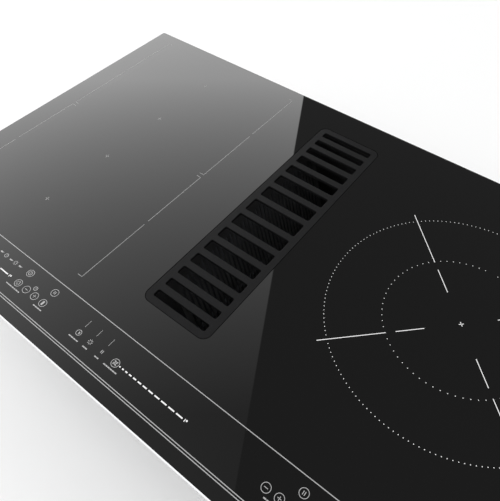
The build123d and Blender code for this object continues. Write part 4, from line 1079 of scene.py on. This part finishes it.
@dataclass
class BlowerTrim(Trim):
    """Moulded ribs, pockets and screws of the blower, the duct, the shaft and the tray.

    A ring of the scroll is its inner and outer radius in millimetres and its number of pockets.
    """

    rib: float = 2.2 * MM
    proud: float = 3.2 * MM
    draft: float = 0.3 * MM
    cut: float = 1 * MM
    scroll_depth: float = 1.3 * MM
    scroll_rings: tuple[tuple[float, float, int], ...] = ((14, 34, 6), (37, 62, 12), (65, 90, 12))
    arc_steps: int = 8
    scroll_angles: range = range(80, 352, 15)
    lug: Triple = (8 * MM, 11 * MM, 9 * MM)
    screw: Triple = (2.6 * MM, 1.4 * MM, 6 * MM)
    reach: float = 260 * MM
    ears: float = 14.0 * MM
    duct_depth: float = 0.9 * MM
    duct_grid: tuple[int, int] = (5, 2)
    shaft_ribs_left: int = 8
    shaft_shares: tuple[float, ...] = (0.3, 0.5, 0.7)
    plenum_count: int = 6
    grip: Triple = (52 * MM, 2.4 * MM, 2.2 * MM)

    def upright(self, form: Form, foot: Sequence[float], out: Vector, length: float) -> None:
        """One upright rib on a wall."""
        form.rib(Vector(foot), out, UP, (length, self.rib, self.proud))

    def pocket(self, at: Point, radii: Point, start: float, end: float) -> list[Point]:
        """The outline of a pocket between two radii and two angles, with ribs left beside it."""
        outline = []
        for radius, way in zip(radii, (1, -1)):
            gap = self.rib / 2 / radius
            for step in range(self.arc_steps + 1)[::way]:
                angle = start + gap + (end - start - 2 * gap) * step / self.arc_steps
                outline.append(polar(at, radius, angle))
        return outline

    def ribbed_floor(self) -> None:
        """The scroll with shallow pockets moulded into its floor, which leave ribs between."""
        pockets = Form()
        low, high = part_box("impeller")
        middle = (low + high) / 2
        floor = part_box("blower_scroll")[0].z
        for inner, outer, count in self.scroll_rings:
            for index in range(count):
                start, end = math.tau * index / count, math.tau * (index + 1) / count
                outline = self.pocket(middle.to_2d(), (inner * MM, outer * MM), start, end)
                pockets.slab(outline, floor - self.cut, floor + self.scroll_depth, self.draft)
        carved = pockets.carve(self.nodes["blower_scroll"])
        self.add(carved, "ribbed_scroll", "duct_plastic", "blower_scroll")

    def duct_floor(self) -> None:
        """The outlet duct with rows of shallow pockets under its floor."""
        pockets = Form()
        low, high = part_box("outlet_duct")
        (columns, rows), side, end = self.duct_grid, self.ears + 4 * MM, 8 * MM
        width, depth = (high.x - low.x - 2 * side) / columns, (high.y - low.y - 2 * end) / rows
        height = (low.z - self.cut, low.z + self.duct_depth)
        for column in range(columns):
            for row in range(rows):
                x, y = low.x + side + width * column, low.y + end + depth * row
                across, along = (x, x + width - self.rib), (y, y + depth - self.rib)
                pockets.block(across, along, height, self.draft)
        carved = pockets.carve(self.nodes["outlet_duct"])
        self.add(carved, "ribbed_duct", "duct_plastic", "outlet_duct")

    def hits(self, name: str, casts: Iterable[tuple[Vector, Vector]]) -> list[tuple[Vector, ...]]:
        """Where lines from outside first meet a node's walls.

        Args:
            name: The node.
            casts: For each line a point that it aims at and the way back out from there.

        Returns:
            The spot, the way out of the wall there and the way back, for each line that meets.
        """
        data = self.nodes[name].data
        polygons = [tuple(polygon.vertices) for polygon in data.polygons]
        tree = BVHTree.FromPolygons([vertex.co for vertex in data.vertices], polygons)
        found = []
        for aim, back in casts:
            spot, normal, _, _ = tree.ray_cast(aim + back * self.reach, -back)
            if spot is not None:
                found.append((spot, normal if normal.dot(back) > 0 else -normal, back))
        return found

    def scroll_ribs(self) -> None:
        """Upright ribs round the scroll, with a screwed lug at every third."""
        form, screws = Form(), Form()
        eye_low, eye_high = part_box("impeller")
        low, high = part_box("blower_scroll")
        height = high.z - low.z - 10 * MM
        middle = (eye_low + eye_high) / 2
        middle.z = (low.z + high.z) / 2
        ways = (between(math.radians(degree), RIGHT, BACK) for degree in self.scroll_angles)
        casts = [(middle, way) for way in ways]
        for step, (spot, out, _) in enumerate(self.hits("blower_scroll", casts)):
            out = Vector((out.x, out.y, 0.0)).normalized()
            spot.z = low.z + 1.0 * MM + height / 2
            self.upright(form, spot, out, height)
            if step % 3 == 1:
                lug = Vector((spot.x, spot.y, high.z - 5 * MM)) + out * 0.2 * MM
                form.rib(lug, out, UP, self.lug, 0.95)
                head = Vector((spot.x, spot.y, high.z - 9 * MM)) + out * 5 * MM
                screws.screw(head, DOWN, *self.screw)
        self.add(form, "scroll_ribs", "duct_plastic")
        self.add(screws, "scroll_screws", "screw_steel")

    def duct_ribs(self) -> None:
        """Three bands over the outlet duct and down its sides."""
        form = Form()
        low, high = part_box("outlet_duct")
        left, right = low.x + self.ears, high.x - self.ears
        middle_x, middle_z = (left + right) / 2, (low.z + high.z) / 2
        for index in range(3):
            y = low.y + (14 + 18 * index) * MM
            span = (right - left - 8 * MM, self.rib, self.proud)
            form.rib(Vector((middle_x, y, high.z)), UP, RIGHT, span)
            for x, out in ((left, LEFT), (right, RIGHT)):
                self.upright(form, (x, y, middle_z), out, high.z - low.z - 8 * MM)
        self.add(form, "duct_ribs", "duct_plastic")

    def shaft_ribs(self) -> None:
        """Upright ribs on the shaft's free sides."""
        form = Form()
        low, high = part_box("sump")
        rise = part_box("casing_floor")[0].z - high.z - 14 * MM
        z = high.z + 6 * MM + rise / 2
        casts = []
        for index in range(self.shaft_ribs_left):
            share = index / (self.shaft_ribs_left - 1)
            y = low.y + 30 * MM + (high.y - low.y - 60 * MM) * share
            casts.append((Vector((low.x, y, z)), LEFT))
        for y, out in ((low.y, FRONT), (high.y, BACK)):
            for share in self.shaft_shares:
                casts.append((Vector((low.x + (high.x - low.x) * share, y, z)), out))
        for spot, _, out in self.hits("intake_shaft", casts):
            self.upright(form, spot, out, rise)
        self.add(form, "shaft_ribs", "duct_plastic")

    def plenum_ribs(self) -> None:
        """Upright ribs round the air box over the blower."""
        form = Form()
        low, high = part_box("plenum")
        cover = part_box("blower_cover")[1].z
        rise = high.z - cover - 14 * MM
        z = cover + 4 * MM + rise / 2
        for index in range(self.plenum_count):
            share = (index + 0.5) / self.plenum_count
            x = low.x + 20 * MM + (high.x - low.x - 34 * MM) * share
            y = low.y + 14 * MM + (high.y - low.y - 28 * MM) * share
            for foot, out in (((x, low.y), FRONT), ((x, high.y), BACK), ((high.x, y), RIGHT)):
                self.upright(form, (*foot, z), out, rise)
        self.add(form, "plenum_ribs", "duct_plastic")

    def tray_grip(self) -> None:
        """Finger bars under the drip tray, by which it is pulled down."""
        form = Form()
        low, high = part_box("drip_tray")
        middle = (low + high) / 2
        for side in (-1, 1):
            for index in range(7):
                y = middle.y + side * (90 + 7 * index) * MM
                form.rib(Vector((middle.x, y, low.z)), DOWN, RIGHT, self.grip)
        self.add(form, "tray_grips", "tray_plastic", body=Body.TRAY)

    def build(self) -> None:
        """Make all of it."""
        for step in (
            self.ribbed_floor, self.duct_floor, self.scroll_ribs, self.duct_ribs,
            self.shaft_ribs, self.plenum_ribs, self.tray_grip,
        ):
            step()


@dataclass
class ControllerTrim(Trim):
    """The fan controller's housing with its lid seam, vents and lid screws."""

    lid: float = 9.0 * MM
    seam: float = 0.9 * MM
    rim: float = 1.0 * MM
    vents: int = 8
    vent: float = 2.6 * MM
    vent_pitch: float = 6.5 * MM
    vent_depth: float = 4.0 * MM
    screw: Triple = (2.8 * MM, 1.5 * MM, 6 * MM)
    screw_inset: float = 8.0 * MM

    def build(self) -> None:
        """Cut the seam and the vents, and put the screws in."""
        low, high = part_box("blower_controller")
        cuts, screws = Form(), Form()
        z, seam, rim = low.z + self.lid, self.seam, self.rim
        whole, inner = (low.x - rim, high.x + rim), (low.y + seam, high.y - seam)
        for y in ((low.y - rim, low.y + seam), (high.y - seam, high.y + rim)):
            cuts.block(whole, y, (z, z + seam))
        for x in ((low.x - rim, low.x + seam), (high.x - seam, high.x + rim)):
            cuts.block(x, inner, (z, z + seam))
        middle = (low.y + high.y) / 2
        for index in range(self.vents):
            y = middle + (index - (self.vents - 1) / 2) * self.vent_pitch
            cuts.block(
                (low.x - rim, low.x + self.vent_depth),
                (y - self.vent / 2, y + self.vent / 2),
                (z + 5 * MM, high.z - 6 * MM),
            )
        carved = cuts.carve(self.nodes["blower_controller"])
        self.add(carved, "controller_housing", "duct_plastic", "blower_controller")
        inset = self.screw_inset
        for x in (low.x + inset, high.x - inset):
            for y in (low.y + inset, high.y - inset):
                screws.screw(Vector((x, y, low.z)), DOWN, *self.screw)
        self.add(screws, "controller_screws", "screw_steel")


@dataclass
class Windings(Trim):
    """The zones' coils, as stranded wire that is wound in two flat layers."""

    wire: float = 2.5 * MM
    pitch: float = 2.6 * MM
    sides: int = 6
    oval_steps: int = 9
    round_steps: int = 20

    def _point(self, half: float, reach: float, step: int, steps: int) -> Vector:
        """A step of a lap with 2 x steps, at this reach from a straight middle 2 x half long."""
        lap = step % (2 * steps)
        middle = (half if lap < steps else -half, 0.0)
        return Vector((*polar(middle, reach, math.pi * lap / steps - math.pi / 2), 0.0))

    def _wind(self, form: Form, centre: Vector, half: float, inner: float, outer: float) -> None:
        """One flat layer of turns round a straight middle 2 x half long, from inner to outer."""
        steps = self.oval_steps if half > 0 else self.round_steps
        last = int((outer - inner) / self.pitch) * 2 * steps
        path = [
            centre + self._point(half, inner + (outer - inner) * step / last, step, steps)
            for step in range(last + 1)
        ]
        angles = [math.tau * (corner + 0.5) / self.sides for corner in range(self.sides)]
        rings = []
        for index, point in enumerate(path):
            ahead = path[min(index + 1, last)] - path[max(index - 1, 0)]
            aside = ahead.normalized().cross(UP)
            rings.append([point + between(angle, aside, UP) * self.wire / 2 for angle in angles])
        form.loft(rings)

    def coil(self, name: str) -> None:
        """Wind one coil in the place of its CAD node."""
        low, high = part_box(name)
        centre = (low + high) / 2
        half = max((high.x - low.x) - (high.y - low.y), 0.0) / 2
        bore = min(
            math.hypot(max(abs(vertex.co.x - centre.x) - half, 0.0), vertex.co.y - centre.y)
            for vertex in self.nodes[name].data.vertices
        )
        inner, outer = bore + self.wire / 2, (high.y - low.y) / 2 - self.wire / 2
        form = Form()
        for z in (low.z + self.wire / 2, high.z - self.wire / 2):
            self._wind(form, Vector((centre.x, centre.y, z)), half, inner, outer)
        self.add(form, f"{name}_turns", "winding", name, shade_angle=70.0)

    def build(self) -> None:
        """Wind every coil."""
        for name in sorted(self.nodes):
            if "winding" in name:
                self.coil(name)


# ------------------------------------------------------------------ the whole scene
def dress(frame: dict[str, Any]) -> dict[str, Material]:
    """Give every CAD node the finish of its slot, and return the materials by slot."""
    made = {slot: finish.make() for slot, finish in finishes().items()}
    for part in frame["record"]["subparts"]:
        materials = frame["nodes"][part["node"]].data.materials
        if not materials:
            materials.append(None)
        for index in range(len(materials)):
            materials[index] = made[part["material_slot"]]
    log.info("%d nodes dressed", len(frame["nodes"]))
    return made


def enamel(name: str, level: float) -> Material:
    """The print on the glass, in one grey."""
    return Finish(name, grey(level), 0.45, grain=0.5 * MM, mottle=0.03).make()


def corners(bounds: tuple[Vector, Vector]) -> list[list[float]]:
    """Two corners as plain lists of numbers."""
    return [[float(part) for part in corner] for corner in bounds]


def main() -> None:
    """Load the frame, build the scene round it and measure its bounds before and after."""
    logging.basicConfig(level=logging.INFO, format="%(message)s")
    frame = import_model()
    sizes = {"cad": corners(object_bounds())}
    Studio().build()
    made = dress(frame)
    white, pale = enamel("white_enamel", 0.80), enamel("grey_enamel", 0.37)
    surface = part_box("glass_top")[1].z
    GlassMarks(surface).build(white, pale, enamel("dim_enamel", 0.24))
    TouchPanel(surface).build(white, pale)
    for trim in (CasingTrim, BlowerTrim, ControllerTrim, Windings):
        trim(frame["nodes"], made).build()
    sizes["visual"] = corners(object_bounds())


if __name__ == "__main__":
    main()
